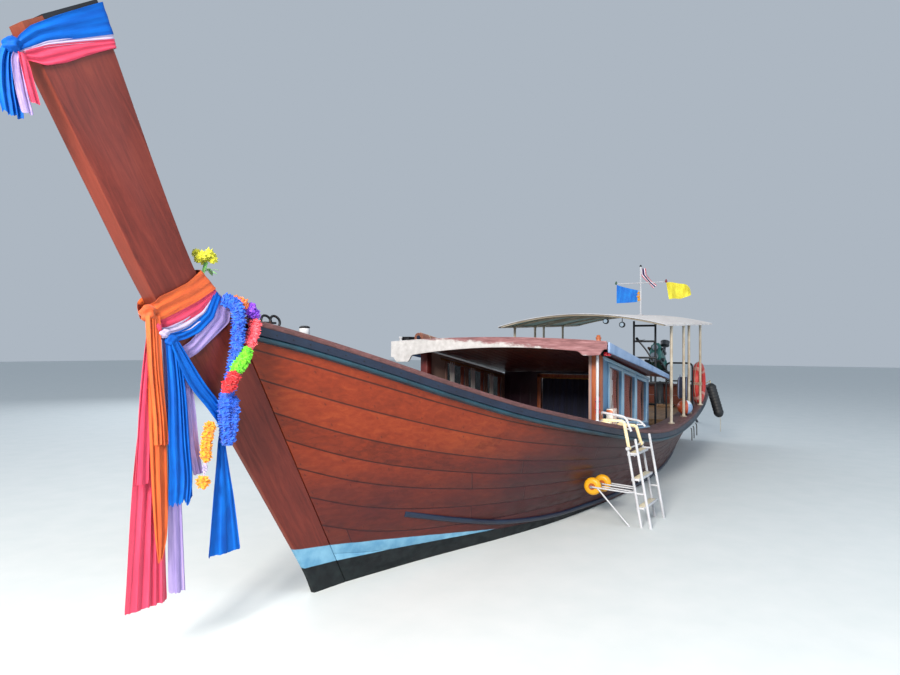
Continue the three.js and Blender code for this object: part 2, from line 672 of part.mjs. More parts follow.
function boardingLadder() {
  const at = (x, out, z) => [x, LADDER.hingeY + out + (LADDER.hingeZ - z) * LADDER.lean, z];
  const parts = [];
  for (const x of [LADDER.fore, LADDER.aft]) {
    parts.push(pipe([at(x, 0, LADDER.hingeZ - 4), at(x, 0, LADDER.foot)], LADDER.rail));
    parts.push(rod([x - 15, LADDER.hingeY, LADDER.hingeZ], [x + 15, LADDER.hingeY, LADDER.hingeZ], 19, 16));
    parts.push(pipe([at(x, 90, 835), at(x, 90, LADDER.foot + 40), at(x, 0, LADDER.foot)], LADDER.rail));
    parts.push(rod(at(x, 0, 700), at(x, 90, 700), 10));
  }
  for (const z of LADDER.steps) {
    const [, y] = at(0, 0, z);
    parts.push(box(LADDER.aft, LADDER.fore, y - 22, y + 60, z - 11, z + 11));
  }
  const [, y] = at(0, 0, LADDER.strut);
  for (const [x, rollerY] of [[LADDER.fore, ROLLER.fore], [ROLLER.aftX, ROLLER.aft]]) {
    for (const dx of [-45, 45]) {
      const start = [LADDER.fore, y, LADDER.strut];
      parts.push(pipe([start, [x + dx, y - 60, LADDER.strut], [x + dx, rollerY - 5, ROLLER.z]], 8));
    }
    parts.push(rod([x - 52, rollerY, ROLLER.z], [x + 52, rollerY, ROLLER.z], 9, 12));
  }
  parts.push(rod([LADDER.fore + 45, ROLLER.fore + 60, ROLLER.z - 4], at(LADDER.fore, 0, LADDER.foot + 60), 8));
  const hinge = x => [x, LADDER.hingeY, LADDER.hingeZ];
  return join(parts).subtract(rod(hinge(LADDER.aft - 30), hinge(LADDER.fore + 30), 8.8, 16));
}
put('boarding_ladder', boardingLadder(), WHITE);

// Stand-off rollers on the axles between the ladder's struts
function roller(x, y) {
  const half = 34;
  const radius = ROLLER.radius;
  const profile = [[9.4, -half], [56, -half], [radius - 8, 12 - half], [radius, 26 - half],
    [radius, half - 26], [radius - 8, half - 12], [56, half], [9.4, half], [9.4, -half]];
  const geometry = new THREE.LatheGeometry(profile.map(p => new THREE.Vector2(...p)), 24);
  geometry.rotateZ(Math.PI / 2);
  geometry.translate(x, y, ROLLER.z);
  return solid(geometry);
}
put('roller_fore', roller(LADDER.fore, ROLLER.fore), YELLOW);
put('roller_aft', roller(ROLLER.aftX, ROLLER.aft), YELLOW);

// Grab pole beside the ladder, from the side deck up to the roof
function grabPole() {
  const { x, y } = { x: 2170, y: 1100 };
  const seat = sheerAt(x).z + GAP;
  return join(rod([x, y, seat], [x, y, 1900], 14), rod([x, y, seat], [x, y, seat + 10], 36, 12))
    .subtract(ROOF_UNDER).subtract(GUNWALE_SEAT);
}
put('grab_pole', grabPole(), WHITE);

// Engine post on the after deck, carrying the steering pin
function enginePost() {
  const foot = AFT_DECK + GAP;
  return join(box(PIVOT.x - 130, PIVOT.x + 150, -240, 240, foot, foot + 60),
    rod([PIVOT.x, 0, foot + 50], [PIVOT.x, 0, PIVOT.z - 190], 62, 16),
    rod([PIVOT.x, 0, foot + 50], [PIVOT.x, 0, PIVOT.z - 150], 24, 16),
    plate([[PIVOT.x + 50, foot + 55], [PIVOT.x + 145, foot + 55], [PIVOT.x + 50, foot + 260]], -12, 12));
}
put('engine_post', enginePost(), DARK_STEEL);

// Swivelling fork
function fork() {
  const base = PIVOT.z - 189;
  const hole = rod([PIVOT.x, 0, base - 10], [PIVOT.x, 0, PIVOT.z - 145], 25, 16);
  const arm = y => box(PIVOT.x - 45, PIVOT.x + 45, y - 9, y + 9, base, PIVOT.z + 46);
  const pin = side => rod([PIVOT.x, side * 100, PIVOT.z], [PIVOT.x, side * 208, PIVOT.z], 22, 16);
  const plateUnder = box(PIVOT.x - 60, PIVOT.x + 60, -183, 183, base, base + 30);
  return join(plateUnder, arm(174), arm(-174), pin(1), pin(-1)).subtract(hole);
}
put('engine_fork', fork(), DARK_STEEL);

// Everything that tilts stands in a group turned to the shaft's slope; its X runs up the shaft to the bow
const tilting = new THREE.Group();
tilting.position.set(PIVOT.x, 0, PIVOT.z);
tilting.rotation.y = -SHAFT_ANGLE;
boat.add(tilting);

function engineBed() {
  const parts = [-128, 128].map(y => box(-190, 620, y - 22, y + 22, 20, 52));
  for (const x of [-160, 590]) parts.push(box(x - 20, x + 20, -140, 140, 20, 52));
  parts.push(box(-36, 36, -146, 146, -34, 36));
  return join(parts).subtract(rod([0, -150, 0], [0, 150, 0], 22.8, 16));
}
put('engine_bed', engineBed(), DARK_STEEL, tilting);

function engineBlock() {
  const top = 400;
  return join(box(70, 520, -105, 105, 52 + GAP, 300), box(90, 505, -85, 85, 290, top),
    box(80, 515, -127, 127, 52 + GAP, 84), box(100, 495, -60, 60, top - 10, top + 45),
    rod([10, 0, SHAFT_RISE + 40], [80, 0, SHAFT_RISE + 40], 128, 20),
    rod([515, 0, SHAFT_RISE], [560, 0, SHAFT_RISE], 70, 16), rod([515, 0, 330], [550, 0, 330], 55, 16));
}
put('engine_block', engineBlock(), ENGINE_PAINT, tilting);

function exhaust() {
  const y = -85 - GAP;
  const ports = [150, 250, 350, 450].map(x => rod([x, y, 345], [x, y - 55, 345], 19, 8));
  return join(ports, rod([130, y - 55, 345], [470, y - 55, 345], 24, 10),
    pipe([[150, y - 55, 345], [150, y - 55, 520], [60, y - 55, 640]], 22, 10),
    rod([150, y - 55, 420], [150, y - 55, 520], 48, 12));
}
put('exhaust', exhaust(), DARK_STEEL, tilting);

function airCleaner() {
  const y = 85 + GAP;
  return join(box(160, 440, y, y + 45, 320, 370), rod([300, y + 30, 345], [300, y + 30, 455], 24, 10),
    rod([300, y + 30, 450], [300, y + 30, 560], 85, 18));
}
put('air_cleaner', airCleaner(), DARK_STEEL, tilting);

function tiller() {
  const z = 36;
  const start = 610 + 2 * GAP;
  const end = TILLER.length;
  return join(pipe([[start, 0, z], [start + 500, 0, z + 10], [end, 0, z - 30]], TILLER.radius, 10),
    rod([start, 0, z], [start + 14, 0, z], 40, 12),
    rod([end - 150, 0, z - 24], [end + 6, 0, z - 31], 24, 12));
}
put('tiller', tiller(), STEEL, tilting);

function tailTube() {
  const end = TAIL.start - TAIL.length;
  return join(rod([10 - GAP, 0, SHAFT_RISE], [TAIL.start, 0, SHAFT_RISE], 110, 16, 44),
    rod([TAIL.start + 5, 0, SHAFT_RISE], [end, 0, SHAFT_RISE], TAIL.radius, 12),
    plate([[end + 40, SHAFT_RISE - 10], [end + 420, SHAFT_RISE - 10], [end + 90, SHAFT_RISE - 190]], -5, 5),
    plate([[end + 60, SHAFT_RISE + 10], [end + 700, SHAFT_RISE + 10], [end + 560, SHAFT_RISE + 55]], -5, 5))
    .subtract(rod([end - 10, 0, SHAFT_RISE], [end + 70, 0, SHAFT_RISE], 12.6, 16));
}
put('tail_tube', tailTube(), DARK_STEEL, tilting);

function propeller() {
  const end = TAIL.start - TAIL.length - 8;
  const hub = rod([end, 0, SHAFT_RISE], [end - PROP.length, 0, SHAFT_RISE], PROP.hub, 14, PROP.hub * 0.6);
  const blade = turn => {
    const outline = new THREE.Shape();
    outline.moveTo(-22, 10);
    outline.quadraticCurveTo(-74, 95, -30, 152);
    outline.quadraticCurveTo(0, PROP.radius + 6, 30, 152);
    outline.quadraticCurveTo(74, 95, 22, 10);
    const depth = { depth: 8, bevelEnabled: false, curveSegments: 5 };
    const geometry = new THREE.ExtrudeGeometry(outline, depth);
    geometry.translate(0, 0, -4);
    geometry.rotateY(0.7);
    geometry.rotateX(Math.PI / 2 + turn);
    geometry.translate(end - 48, 0, SHAFT_RISE);
    return solid(geometry);
  };
  const stub = rod([end - 5, 0, SHAFT_RISE], [end + 66, 0, SHAFT_RISE], 12, 16);
  return join(hub, stub, blade(0), blade(Math.PI));
}
put('propeller', propeller(), BRONZE, tilting);

// Ribbons round the prow. A tail is a folded strip, and its rings run from the knot down to the hem
function tail(stops, grow) {
  const thick = 11 + grow;
  return loft(stops.map(([x, y, z, width]) => [[x - width / 2, y - thick, z], [x + width / 2, y - thick, z],
    [x + width / 2, y + thick, z], [x - width / 2, y + thick, z]]));
}

function prowRibbons(grow) {
  const out = STEM_HALF + RIBBON + grow;
  const band = shift => plate(SASH.map(([x, z]) => [x + shift, z]), -out, out);
  const knots = [ball(6312, 40, 1885, 62), ball(6235, 72, 1785, 48)];
  return join(band(0), band(-2 * grow), knots, TAILS.map(stops => tail(stops, grow)));
}
put('prow_ribbons', prowRibbons(0).subtract(STEM_SEAT), CLOTH);

function headWrap() {
  const out = STEM_HALF + RIBBON;
  const tails = [
    [[6990, 30, 3030, 60], [7040, 40, 2980, 110], [7040, 45, 2690, 150]],
    [[6985, 50, 3020, 50], [6950, 60, 2960, 90], [6935, 60, 2745, 130]],
  ];
  const knot = ball(6975, 45, 3022, 46);
  return join(plate(HEAD_WRAP, -out, out), knot, tails.map(stops => tail(stops, 0))).subtract(STEM_SEAT);
}
put('head_wrap', headWrap(), CLOTH);

// Garland of ribbon flowers, hung over the after edge of the prow, with a posy above it
function garlandLoops() {
  const fat = 40;
  const drop = y => [[5800, y * 0.4, 2060], [5815, y, 2010], [5840, y, 1900]];
  const fore = pipe([...drop(165), [5850, 165, 1500], [5890, 165, 1130]], fat, 8);
  const aft = pipe([[5800, 66, 2060], [5745, 130, 2010], [5728, 176, 1900], [5722, 176, 1760],
    [5770, 172, 1630], [5835, 165, 1500], [5870, 165, 1400]], fat, 8);
  const tassel = rod([5890, 165, 1420], [5985, 165, 900], 34, 8);
  const posy = rod([5790, 0, 2060], [5905, 0, 2245], 14, 8);
  const over = rod([5800, -30, 2062], [5800, 80, 2062], fat, 8);
  return join(fore, aft, tassel, posy, over, ball(5925, 0, 2262, 62))
    .subtract(STEM_SEAT).subtract(prowRibbons(GAP));
}
put('garland_loops', garlandLoops(), ORANGE);

// Bag hung on the port guard rail
function stowageBag() {
  const back = -2350 + 11 + GAP;
  const side = [[back, 970], [back + 75, 960], [back + 105, 1010], [back + 95, 1230], [back + 50, 1300],
    [back, 1300]];
  return plate(side, 865, 1058);
}
put('stowage_bag', stowageBag(), NAVY);

export default boat;
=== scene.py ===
import math
import random

import bpy
from mathutils import Matrix, Vector


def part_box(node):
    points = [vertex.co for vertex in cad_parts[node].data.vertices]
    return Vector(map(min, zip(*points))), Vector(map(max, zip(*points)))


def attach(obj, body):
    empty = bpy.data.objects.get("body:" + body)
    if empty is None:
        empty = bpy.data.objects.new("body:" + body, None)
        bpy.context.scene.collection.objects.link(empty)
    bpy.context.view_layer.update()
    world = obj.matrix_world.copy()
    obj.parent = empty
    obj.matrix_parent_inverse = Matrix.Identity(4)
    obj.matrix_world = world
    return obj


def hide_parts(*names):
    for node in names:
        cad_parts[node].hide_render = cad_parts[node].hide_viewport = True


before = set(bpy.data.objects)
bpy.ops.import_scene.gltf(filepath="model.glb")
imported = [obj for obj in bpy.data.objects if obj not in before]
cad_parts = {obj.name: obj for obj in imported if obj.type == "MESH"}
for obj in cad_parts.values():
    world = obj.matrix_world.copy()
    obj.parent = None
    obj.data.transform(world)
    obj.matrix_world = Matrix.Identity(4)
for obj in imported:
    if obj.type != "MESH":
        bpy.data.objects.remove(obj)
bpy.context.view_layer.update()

GAP = 0.0003
TURN = 2 * math.pi
UP = (0, 0, 1)
SIDES = ((1, "port"), (-1, "starboard"))
# Heights of the cabin's sole and of the after deck, and where the sole ends aft
SOLE_TOP, DECK_TOP = 0.33, 0.62
SOLE_END = -2.3
random.seed(7)


# Shader values that take part in sums

def operator(kind):
    """A method of Value that makes one math node."""
    return lambda value, *others: value.finish.node("ShaderNodeMath", {"operation": kind}, value, *others)


class Value:
    """A socket in a material's node tree, so that a mask is written as a Python expression."""

    __add__ = __radd__ = operator("ADD")
    __mul__ = __rmul__ = operator("MULTIPLY")
    __sub__ = operator("SUBTRACT")
    __truediv__ = operator("DIVIDE")
    __pow__ = operator("POWER")
    floor = operator("FLOOR")
    fract = operator("FRACT")
    size = operator("ABSOLUTE")
    sine = operator("SINE")
    lower = operator("MINIMUM")
    upper = operator("MAXIMUM")

    def __init__(self, finish, socket):
        self.finish = finish
        self.socket = socket

    def __rsub__(self, other):
        return self.finish.node("ShaderNodeMath", {"operation": "SUBTRACT"}, other, self)

    def rise(self, low, high):
        """0 below low and 1 above high, with a smooth way between. It falls where low is above high."""
        if low > high:
            return 1 - self.rise(high, low)
        return self.finish.node("ShaderNodeMapRange", {"interpolation_type": "SMOOTHSTEP"}, self, low, high)


class Finish:
    """A procedural material. Its node method makes every node."""

    def __init__(self, name, roughness=0.6, metallic=0.0, specular=0.5, coat=0.0, sheen=0.0):
        self.material = bpy.data.materials.new(name)
        self.material.use_nodes = True
        self.tree = self.material.node_tree
        self.shader = self.tree.nodes["Principled BSDF"]
        for socket, value in (("Roughness", roughness), ("Metallic", metallic),
                ("Specular IOR Level", specular), ("Coat Weight", coat), ("Sheen Weight", sheen),
                ("Coat Roughness", 0.15)):
            self.shader.inputs[socket].default_value = value

    def feed(self, socket, value):
        value = srgb(value)
        if isinstance(value, Value):
            self.tree.links.new(value.socket, socket)
        elif value is not None:
            if hasattr(value, "__len__") and len(value) == 3 and len(socket.default_value) == 4:
                value = (*value, 1.0)
            socket.default_value = value

    def node(self, kind, settings, *values, **named):
        node = self.tree.nodes.new(kind)
        for key, value in settings.items():
            if key == "stops":
                ramp = node.color_ramp
                while len(ramp.elements) < len(value):
                    ramp.elements.new(0.5)
                for element, (place, colour) in zip(ramp.elements, value):
                    element.position = place
                    element.color = (*srgb(colour), 1.0)
            else:
                setattr(node, key, value)
        for socket, value in zip(node.inputs, values):
            self.feed(socket, value)
        for name, value in named.items():
            self.feed(node.inputs[name.replace("_", " ")], value)
        return Value(self, node.outputs[0])

    def place(self, scale=(1, 1, 1), turn=(0, 0, 0), source="Object"):
        """Object or UV coordinates, turned and scaled."""
        coordinate = self.tree.nodes.new("ShaderNodeTexCoord")
        return self.node("ShaderNodeMapping", {}, Value(self, coordinate.outputs[source]), (0, 0, 0), turn,
            scale)

    def parts(self, vector):
        split = self.tree.nodes.new("ShaderNodeSeparateXYZ")
        self.feed(split.inputs[0], vector)
        return [Value(self, split.outputs[i]) for i in range(3)]

    def noise(self, place, scale=5.0, detail=3.0, roughness=0.55, distortion=0.0):
        return self.node("ShaderNodeTexNoise", {}, Vector=place, Scale=scale, Detail=detail,
            Roughness=roughness, Distortion=distortion)

    def chance(self, number):
        return self.node("ShaderNodeTexWhiteNoise", {"noise_dimensions": "1D"}, W=number)

    def mix(self, factor, first, second):
        mixer = self.tree.nodes.new("ShaderNodeMix")
        mixer.data_type = "RGBA"
        for socket, value in ((mixer.inputs[0], factor), (mixer.inputs[6], first), (mixer.inputs[7], second)):
            self.feed(socket, value)
        return Value(self, mixer.outputs[2])

    def ramp(self, factor, *stops):
        return self.node("ShaderNodeValToRGB", {"stops": stops}, factor)

    def finish(self, colour=None, roughness=None, bump=None, strength=0.4, depth=0.004, metallic=None,
            coat=None):
        inputs = self.shader.inputs
        for name, value in (("Base Color", colour), ("Roughness", roughness), ("Metallic", metallic),
                ("Coat Weight", coat)):
            if value is not None:
                self.feed(inputs[name], value)
        if bump is not None:
            normal = self.node("ShaderNodeBump", {}, Strength=strength, Distance=depth, Height=bump)
            self.feed(inputs["Normal"], normal)
        return self.material


def srgb(colour):
    """A colour written as six hex figures, in the linear values that a shader takes."""
    if not isinstance(colour, str):
        return colour
    parts = [int(colour[i:i + 2], 16) / 255 for i in (0, 2, 4)]
    return tuple(c / 12.92 if c <= 0.04045 else ((c + 0.055) / 1.055) ** 2.4 for c in parts)


def dim(colour, share, lift=0.0):
    """A share of a colour."""
    return tuple(share * c + lift for c in srgb(colour))


# Wood

def wood(name, dark, light, turn=(0, 0, 0), grain=9.0, gloss=0.35, coat=0.0, worn=0.35, relief=0.25):
    """Timber with its grain along X after the turn."""
    f = Finish(name, roughness=gloss, coat=coat)
    place = f.place(turn=turn)
    along = f.node("ShaderNodeMapping", {}, place, (0, 0, 0), (0, 0, 0), (0.35, 4.0, 4.0))
    streak = f.noise(along, scale=grain, detail=6, roughness=0.62, distortion=0.6)
    fine = f.noise(along, scale=grain * 7, detail=3)
    cloud = f.noise(place, scale=1.7, detail=3)
    tone = streak * 0.62 + fine * 0.18 + cloud * 0.35 - 0.08
    colour = f.ramp(tone, (0.28, dark), (0.72, light))
    dirt = f.noise(place, scale=6, detail=5, roughness=0.7).rise(0.55, 0.75)
    colour = f.mix(dirt * worn, colour, dim(dark, 0.55, 0.02))
    return f.finish(colour, roughness=(dirt * 0.3 + fine * 0.15 + gloss).lower(0.95),
        bump=fine * 0.5 + streak * 0.5, strength=relief, depth=0.003)


def bottom_paint(f, colour, x, z):
    """A pale blue wedge over black bottom paint. Returns the new colour and where the paint is."""
    wobble = f.noise(f.place(), scale=9, detail=2) * 0.008
    top = (x - 3.196) * 0.1163 + 0.112 + wobble
    low = (x - 3.196) * 0.047 + 0.104 + wobble
    pale = (z - top).rise(0.003, -0.003) * x.rise(3.15, 3.3)
    black = (z - low).rise(0.003, -0.003)
    blue = f.ramp(f.noise(f.place(), scale=7, detail=5), (0.35, "588fb2"), (0.7, "80b2cc"))
    bottom = f.ramp(f.noise(f.place(), scale=12, detail=5), (0.35, "0a0f14"), (0.75, "1d2628"))
    return f.mix(black, f.mix(pale, colour, blue), bottom), pale.upper(black)


def hull_varnish():
    """Varnished planks: UV is metres along the hull and planks up from the keel. Bottom paint below."""
    f = Finish("hull_varnish", roughness=0.45, specular=0.3)
    u, v, _ = f.parts(f.place(source="UV"))
    plank = v.floor()
    tint = f.chance(plank * 1.7 + 3.1)
    butt = (u + f.chance(plank + 11) * 4.2) / 4.2
    piece = f.chance(butt.floor() * 7.3 + plank * 3.9)
    along = f.place(scale=(0.30, 3.2, 3.2), turn=(0, 0.09, 0))
    streak = f.noise(along, scale=10, detail=7, roughness=0.6, distortion=0.7)
    fine = f.noise(along, scale=55, detail=3)
    cloud = f.noise(f.place(), scale=0.9, detail=4, roughness=0.6)
    tone = streak * 0.55 + fine * 0.14 + cloud * 0.5 + (tint - 0.5) * 0.14 + (piece - 0.5) * 0.2 - 0.12
    colour = f.ramp(tone, (0.22, "541b0b"), (0.5, "802d12"), (0.8, "9a441d"))
    stain = f.noise(f.place(scale=(1, 1, 2.2)), scale=2.4, detail=6, roughness=0.68).rise(0.58, 0.74)
    colour = f.mix(stain * 0.5, colour, "2c0f0a")
    x, _, z = f.parts(f.place())
    ends = (butt.fract() - 0.5).size().rise(0.4975, 0.4993)
    seam = (v.fract() - 0.5).size().rise(0.468, 0.494)
    frame_line = ((u / 0.45).fract() - 0.5) * 0.45
    plug_row = ((v.fract() - 0.5).size() - 0.33) * 0.18
    plug = (frame_line ** 2 + plug_row ** 2).rise(0.00011, 0.00005)
    dark = (seam + ends).lower(1)
    colour = f.mix(dark * 0.85, colour, "2c120c")
    colour = f.mix(plug * 0.5, colour, "4b1e12")
    # Aft and low down the planks are darkened to a purple-brown: painted shade on the side that turns from
    # the light, so the upper planks at the bow stay brightest
    shade_wobble = f.noise(f.place(scale=(0.6, 1, 2)), scale=3, detail=5, roughness=0.65) * 0.5
    painted_shade = ((1 - x.rise(0.8, 4.2)) * 0.7 + (1 - z.rise(0.45, 1.35)) * 0.75 + shade_wobble - 0.35).rise(0.0, 0.95)
    colour = f.mix(painted_shade * 0.92, colour, f.mix(streak, "1d0a10", "431c24"))
    # Low down the varnish is dull with salt
    salt = f.noise(f.place(scale=(1, 1, 3)), scale=5, detail=5).rise(0.42, 0.7) * z.rise(0.55, 0.12)
    colour = f.mix(salt * 0.3, colour, "4a322c")
    colour, paint = bottom_paint(f, colour, x, z)
    rough = (stain * 0.2 + salt * 0.3 + fine * 0.12 + 0.38 + paint * 0.2).lower(0.95)
    bump = fine * 0.25 + streak * 0.35 - dark * 2.2 - plug * 0.6
    return f.finish(colour, roughness=rough, bump=bump, strength=0.35, depth=0.004,
        coat=(1 - paint) * (1 - salt) * 0.06)


def prow_wood():
    """Varnished prow timber: UV is metres up the timber and across it from its fore edge."""
    f = Finish("prow_wood", roughness=0.45, specular=0.3)
    _, across, _ = f.parts(f.place(source="UV"))
    along = f.place(turn=(0, 1.02, 0))
    stretched = f.node("ShaderNodeMapping", {}, along, (0, 0, 0), (0, 0, 0), (0.35, 3.6, 3.6))
    streak = f.noise(stretched, scale=8, detail=7, roughness=0.62, distortion=0.9)
    fine = f.noise(stretched, scale=52, detail=3)
    cloud = f.noise(f.place(), scale=1.3, detail=4, roughness=0.6)
    tone = streak * 0.62 + fine * 0.16 + cloud * 0.42 - 0.12
    colour = f.ramp(tone, (0.22, "3c1310"), (0.5, "65261e"), (0.8, "7e382a"))
    # The fore face is painted lighter: painted sunlight on the face that meets the light
    face = across.rise(0.016, 0.008)
    colour = f.mix(face * 0.35, colour, "8c3a22")
    x, _, z = f.parts(f.place())
    crack = f.noise(stretched, scale=17, detail=5, roughness=0.7).rise(0.66, 0.7)
    colour = f.mix(crack * 0.4, colour, "34130c")
    # The after face is painted darker: painted shade on the face turned away from the light
    rear = across.rise(0.345, 0.36)
    colour = f.mix(rear * 0.8, colour, "2a120e")
    bare = (z * 0.87 + x * 0.44).rise(5.75, 5.83) * across.rise(0.3, 0.1)
    colour = f.mix(bare * 0.4, colour, "7c4a34")
    colour, paint = bottom_paint(f, colour, x, z)
    rough = (fine * 0.14 + bare * 0.2 + cloud * 0.1 + paint * 0.2 + 0.38).lower(0.95)
    return f.finish(colour, roughness=rough, bump=fine * 0.35 + streak * 0.5 - crack * 1.2, strength=0.3,
        depth=0.003, coat=(1 - paint) * (1 - bare) * 0.06)


def tinted_pane(name, cover):
    """Dark window pane, streaked with dried spray. cover is how much it hides."""
    f = Finish(name, roughness=0.08, specular=0.4)
    spray = f.noise(f.place(scale=(1, 1, 0.5)), scale=22, detail=5, roughness=0.7).rise(0.55, 0.78)
    f.feed(f.shader.inputs["Alpha"], spray * 0.12 + cover)
    return f.finish(f.mix(spray * 0.35, "0c1418", "7f9098"), roughness=spray * 0.5 + 0.06, bump=spray,
        strength=0.05, depth=0.001)


def fascia_paint():
    """White paint on the starboard side that has worn to pink-brown wood towards port, and along the top."""
    f = Finish("fascia_paint", roughness=0.5)
    _, y, z = f.parts(f.place())
    grain = f.noise(f.place(scale=(4, 0.5, 5)), scale=12, detail=6, roughness=0.65)
    patch = f.noise(f.place(scale=(1, 0.8, 2)), scale=7, detail=6, roughness=0.72)
    wood_tone = f.ramp(grain, (0.3, "6c4347"), (0.55, "95676a"), (0.78, "b89096"))
    white = f.ramp(f.noise(f.place(), scale=18, detail=5), (0.3, "b8b6b6"), (0.7, "d2d0d1"))
    height = z + y * y * 0.04 - 1.773
    bare = ((height + y * 0.075) * 8 + patch * 0.9).rise(0.36, 0.58)
    speck = f.noise(f.place(), scale=60, detail=4, roughness=0.7).rise(0.62, 0.68)
    colour = f.mix(bare, f.mix(speck * 0.3, white, "a9806e"), wood_tone)
    rim = f.noise(f.place(), scale=40, detail=4).rise(0.6, 0.7)
    return f.finish(colour, roughness=bare * 0.2 + 0.45, bump=grain * 0.6 - bare * 0.4 + rim * 0.2,
        strength=0.3, depth=0.002)


def float_shell():
    """Orange float with a white and blue after half."""
    f = Finish("float_shell", roughness=0.35, coat=0.2)
    x, y, z = f.parts(f.place())
    scuff = f.noise(f.place(scale=(1, 1, 6)), scale=30, detail=6, roughness=0.7).rise(0.6, 0.7)
    side = (y - 1.13) * 0.857 - (x + 1.6) * 0.515
    seam = f.noise(f.place(), scale=14, detail=3) * 0.012
    orange = f.mix(scuff * 0.6, "a8482a", "4e2014")
    pale = f.mix((z + seam).rise(0.93, 0.96), "7f9cc0", "cfdbe8")
    return f.finish(f.mix((side + seam).rise(0.018, 0.022), orange, pale), roughness=scuff * 0.3 + 0.3,
        bump=scuff, strength=0.15, depth=0.001)


def caddy_paint():
    """White with two slanting orange-brown straps."""
    f = Finish("caddy_paint", roughness=0.4)
    x, _, z = f.parts(f.place())
    scuff = f.noise(f.place(), scale=40, detail=6, roughness=0.7).rise(0.58, 0.7)
    slant = ((x * -1 + z * 0.5) * 22).fract()
    strap = slant.rise(0.30, 0.34) * slant.rise(0.72, 0.68)
    colour = f.mix(strap, f.mix(scuff * 0.6, "ece6da", "b59a80"), f.mix(scuff, "c8602a", "7c3a1c"))
    return f.finish(colour, roughness=scuff * 0.3 + 0.35, bump=strap * 0.5 + scuff * 0.3, strength=0.2,
        depth=0.001)


# Paint, metal, plastic and cloth

def enamel(name, base, worn, under, roughness=0.4, chips=0.3, inside=None):
    """Brushed enamel that fades, streaks and chips to what is under it. inside is the cabin's paint."""
    f = Finish(name, roughness=roughness)
    place = f.place()
    fade = f.noise(place, scale=3.6, detail=5, roughness=0.62)
    drip = f.noise(f.place(scale=(6, 6, 0.7)), scale=5.4, detail=4).rise(0.5, 0.8)
    chip = f.noise(place, scale=29.7, detail=6, roughness=0.72).rise(0.69 - chips * 0.16, 0.72 - chips * 0.12)
    colour = f.mix(fade.rise(0.35, 0.7), base, worn)
    if inside:
        _, y, _ = f.parts(place)
        colour = f.mix(y.size().rise(0.994, 0.988), colour, f.mix(fade, *inside))
    colour = f.mix(drip * 0.25, colour, dim(worn, 0.5))
    colour = f.mix(chip, colour, under)
    bump = f.noise(place, scale=126, detail=3) * 0.4 - chip * 1.2
    return f.finish(colour, roughness=(fade * 0.25 + chip * 0.3 + roughness - 0.1).lower(0.95), bump=bump,
        strength=0.25, depth=0.0015)


def metal(name, base, stain, roughness=0.3, metallic=0.9, rust=0.2):
    """Brushed metal with spots of stain."""
    f = Finish(name, roughness=roughness, metallic=metallic)
    place = f.place()
    cloud = f.noise(place, scale=14, detail=5, roughness=0.65)
    spot = f.noise(place, scale=42, detail=6, roughness=0.7).rise(0.68 - rust * 0.3, 0.74 - rust * 0.2)
    brushed = f.noise(f.place(scale=(1, 40, 40)), scale=28, detail=2)
    colour = f.mix(spot, f.mix(cloud * 0.5, base, dim(base, 0.6)), stain)
    rough = (cloud * 0.2 + spot * 0.45 + brushed * 0.1 + roughness - 0.1).lower(0.95)
    return f.finish(colour, roughness=rough, metallic=(1 - spot) * metallic,
        bump=brushed * 0.2 + spot * 0.8, strength=0.2, depth=0.001)


def plastic(name, base, faded, roughness=0.38, rub=0.3):
    """Moulded plastic or rubber, faded in patches and scuffed."""
    f = Finish(name, roughness=roughness)
    place = f.place()
    fade = f.noise(place, scale=5, detail=5)
    scuff = f.noise(f.place(scale=(1, 1, 7)), scale=40, detail=6, roughness=0.72).rise(0.6, 0.72)
    colour = f.mix(fade.rise(0.4, 0.75) * 0.7, base, faded)
    colour = f.mix(scuff * rub, colour, dim(base, 0.4, 0.05))
    return f.finish(colour, roughness=(scuff * 0.3 + fade * 0.2 + roughness - 0.08).lower(0.95),
        bump=f.noise(place, scale=220, detail=2) * 0.5 - scuff, strength=0.15, depth=0.001)


def weave(u, v, threads):
    """Height of a plain weave, from two crossed waves along the piece's own UV, in metres."""
    warp = (u * (TURN * threads)).sine()
    weft = (v * (TURN * threads)).sine()
    return warp * weft * 0.5 + (warp * 0.25 + weft * 0.25)


def cloth(name, base, shade, roughness=0.8, threads=350.0, sheen=0.3, stripes=(), clear=0.0, specular=0.5):
    """Woven cloth. UV is metres across and along. stripes are bands along it: start, end and colour."""
    f = Finish(name, roughness=roughness, sheen=sheen, specular=specular)
    u, v, _ = f.parts(f.place(source="UV"))
    fold = f.noise(f.place(source="UV", scale=(6, 0.8, 1)), scale=3.5, detail=4)
    dye = f.noise(f.place(source="UV"), scale=5, detail=5)
    # Long fold streaks darken it towards the shade colour: painted shade in the folds, mixed with real
    # unevenness of the dye
    colour = f.mix((fold * 0.6 + dye * 0.5).rise(0.35, 0.75), shade, base)
    for start, end, tint in stripes:
        band = v.rise(start - 0.001, start + 0.001) * v.rise(end + 0.001, end - 0.001)
        colour = f.mix(band, colour, f.mix(dye.rise(0.3, 0.8), dim(tint, 0.75), tint))
    if clear:
        f.feed(f.shader.inputs["Alpha"], 1 - f.noise(f.place(source="UV"), scale=9).rise(0.3, 0.8) * clear)
    return f.finish(colour, roughness=(dye * 0.15 + roughness - 0.05).lower(1.0),
        bump=weave(u, v, threads) + fold * 0.6, strength=0.3, depth=0.0012)


# Modelling

def pick(*objects):
    bpy.ops.object.select_all(action="DESELECT")
    for obj in objects:
        obj.select_set(True)
    bpy.context.view_layer.objects.active = objects[-1]


def edited(obj, *steps):
    """Runs edit operators, each a name and its settings, on everything in the mesh."""
    pick(obj)
    bpy.ops.object.mode_set(mode="EDIT")
    bpy.ops.mesh.select_all(action="SELECT")
    for name, settings in steps:
        getattr(bpy.ops.mesh, name)(**settings)
    bpy.ops.object.mode_set(mode="OBJECT")
    return obj


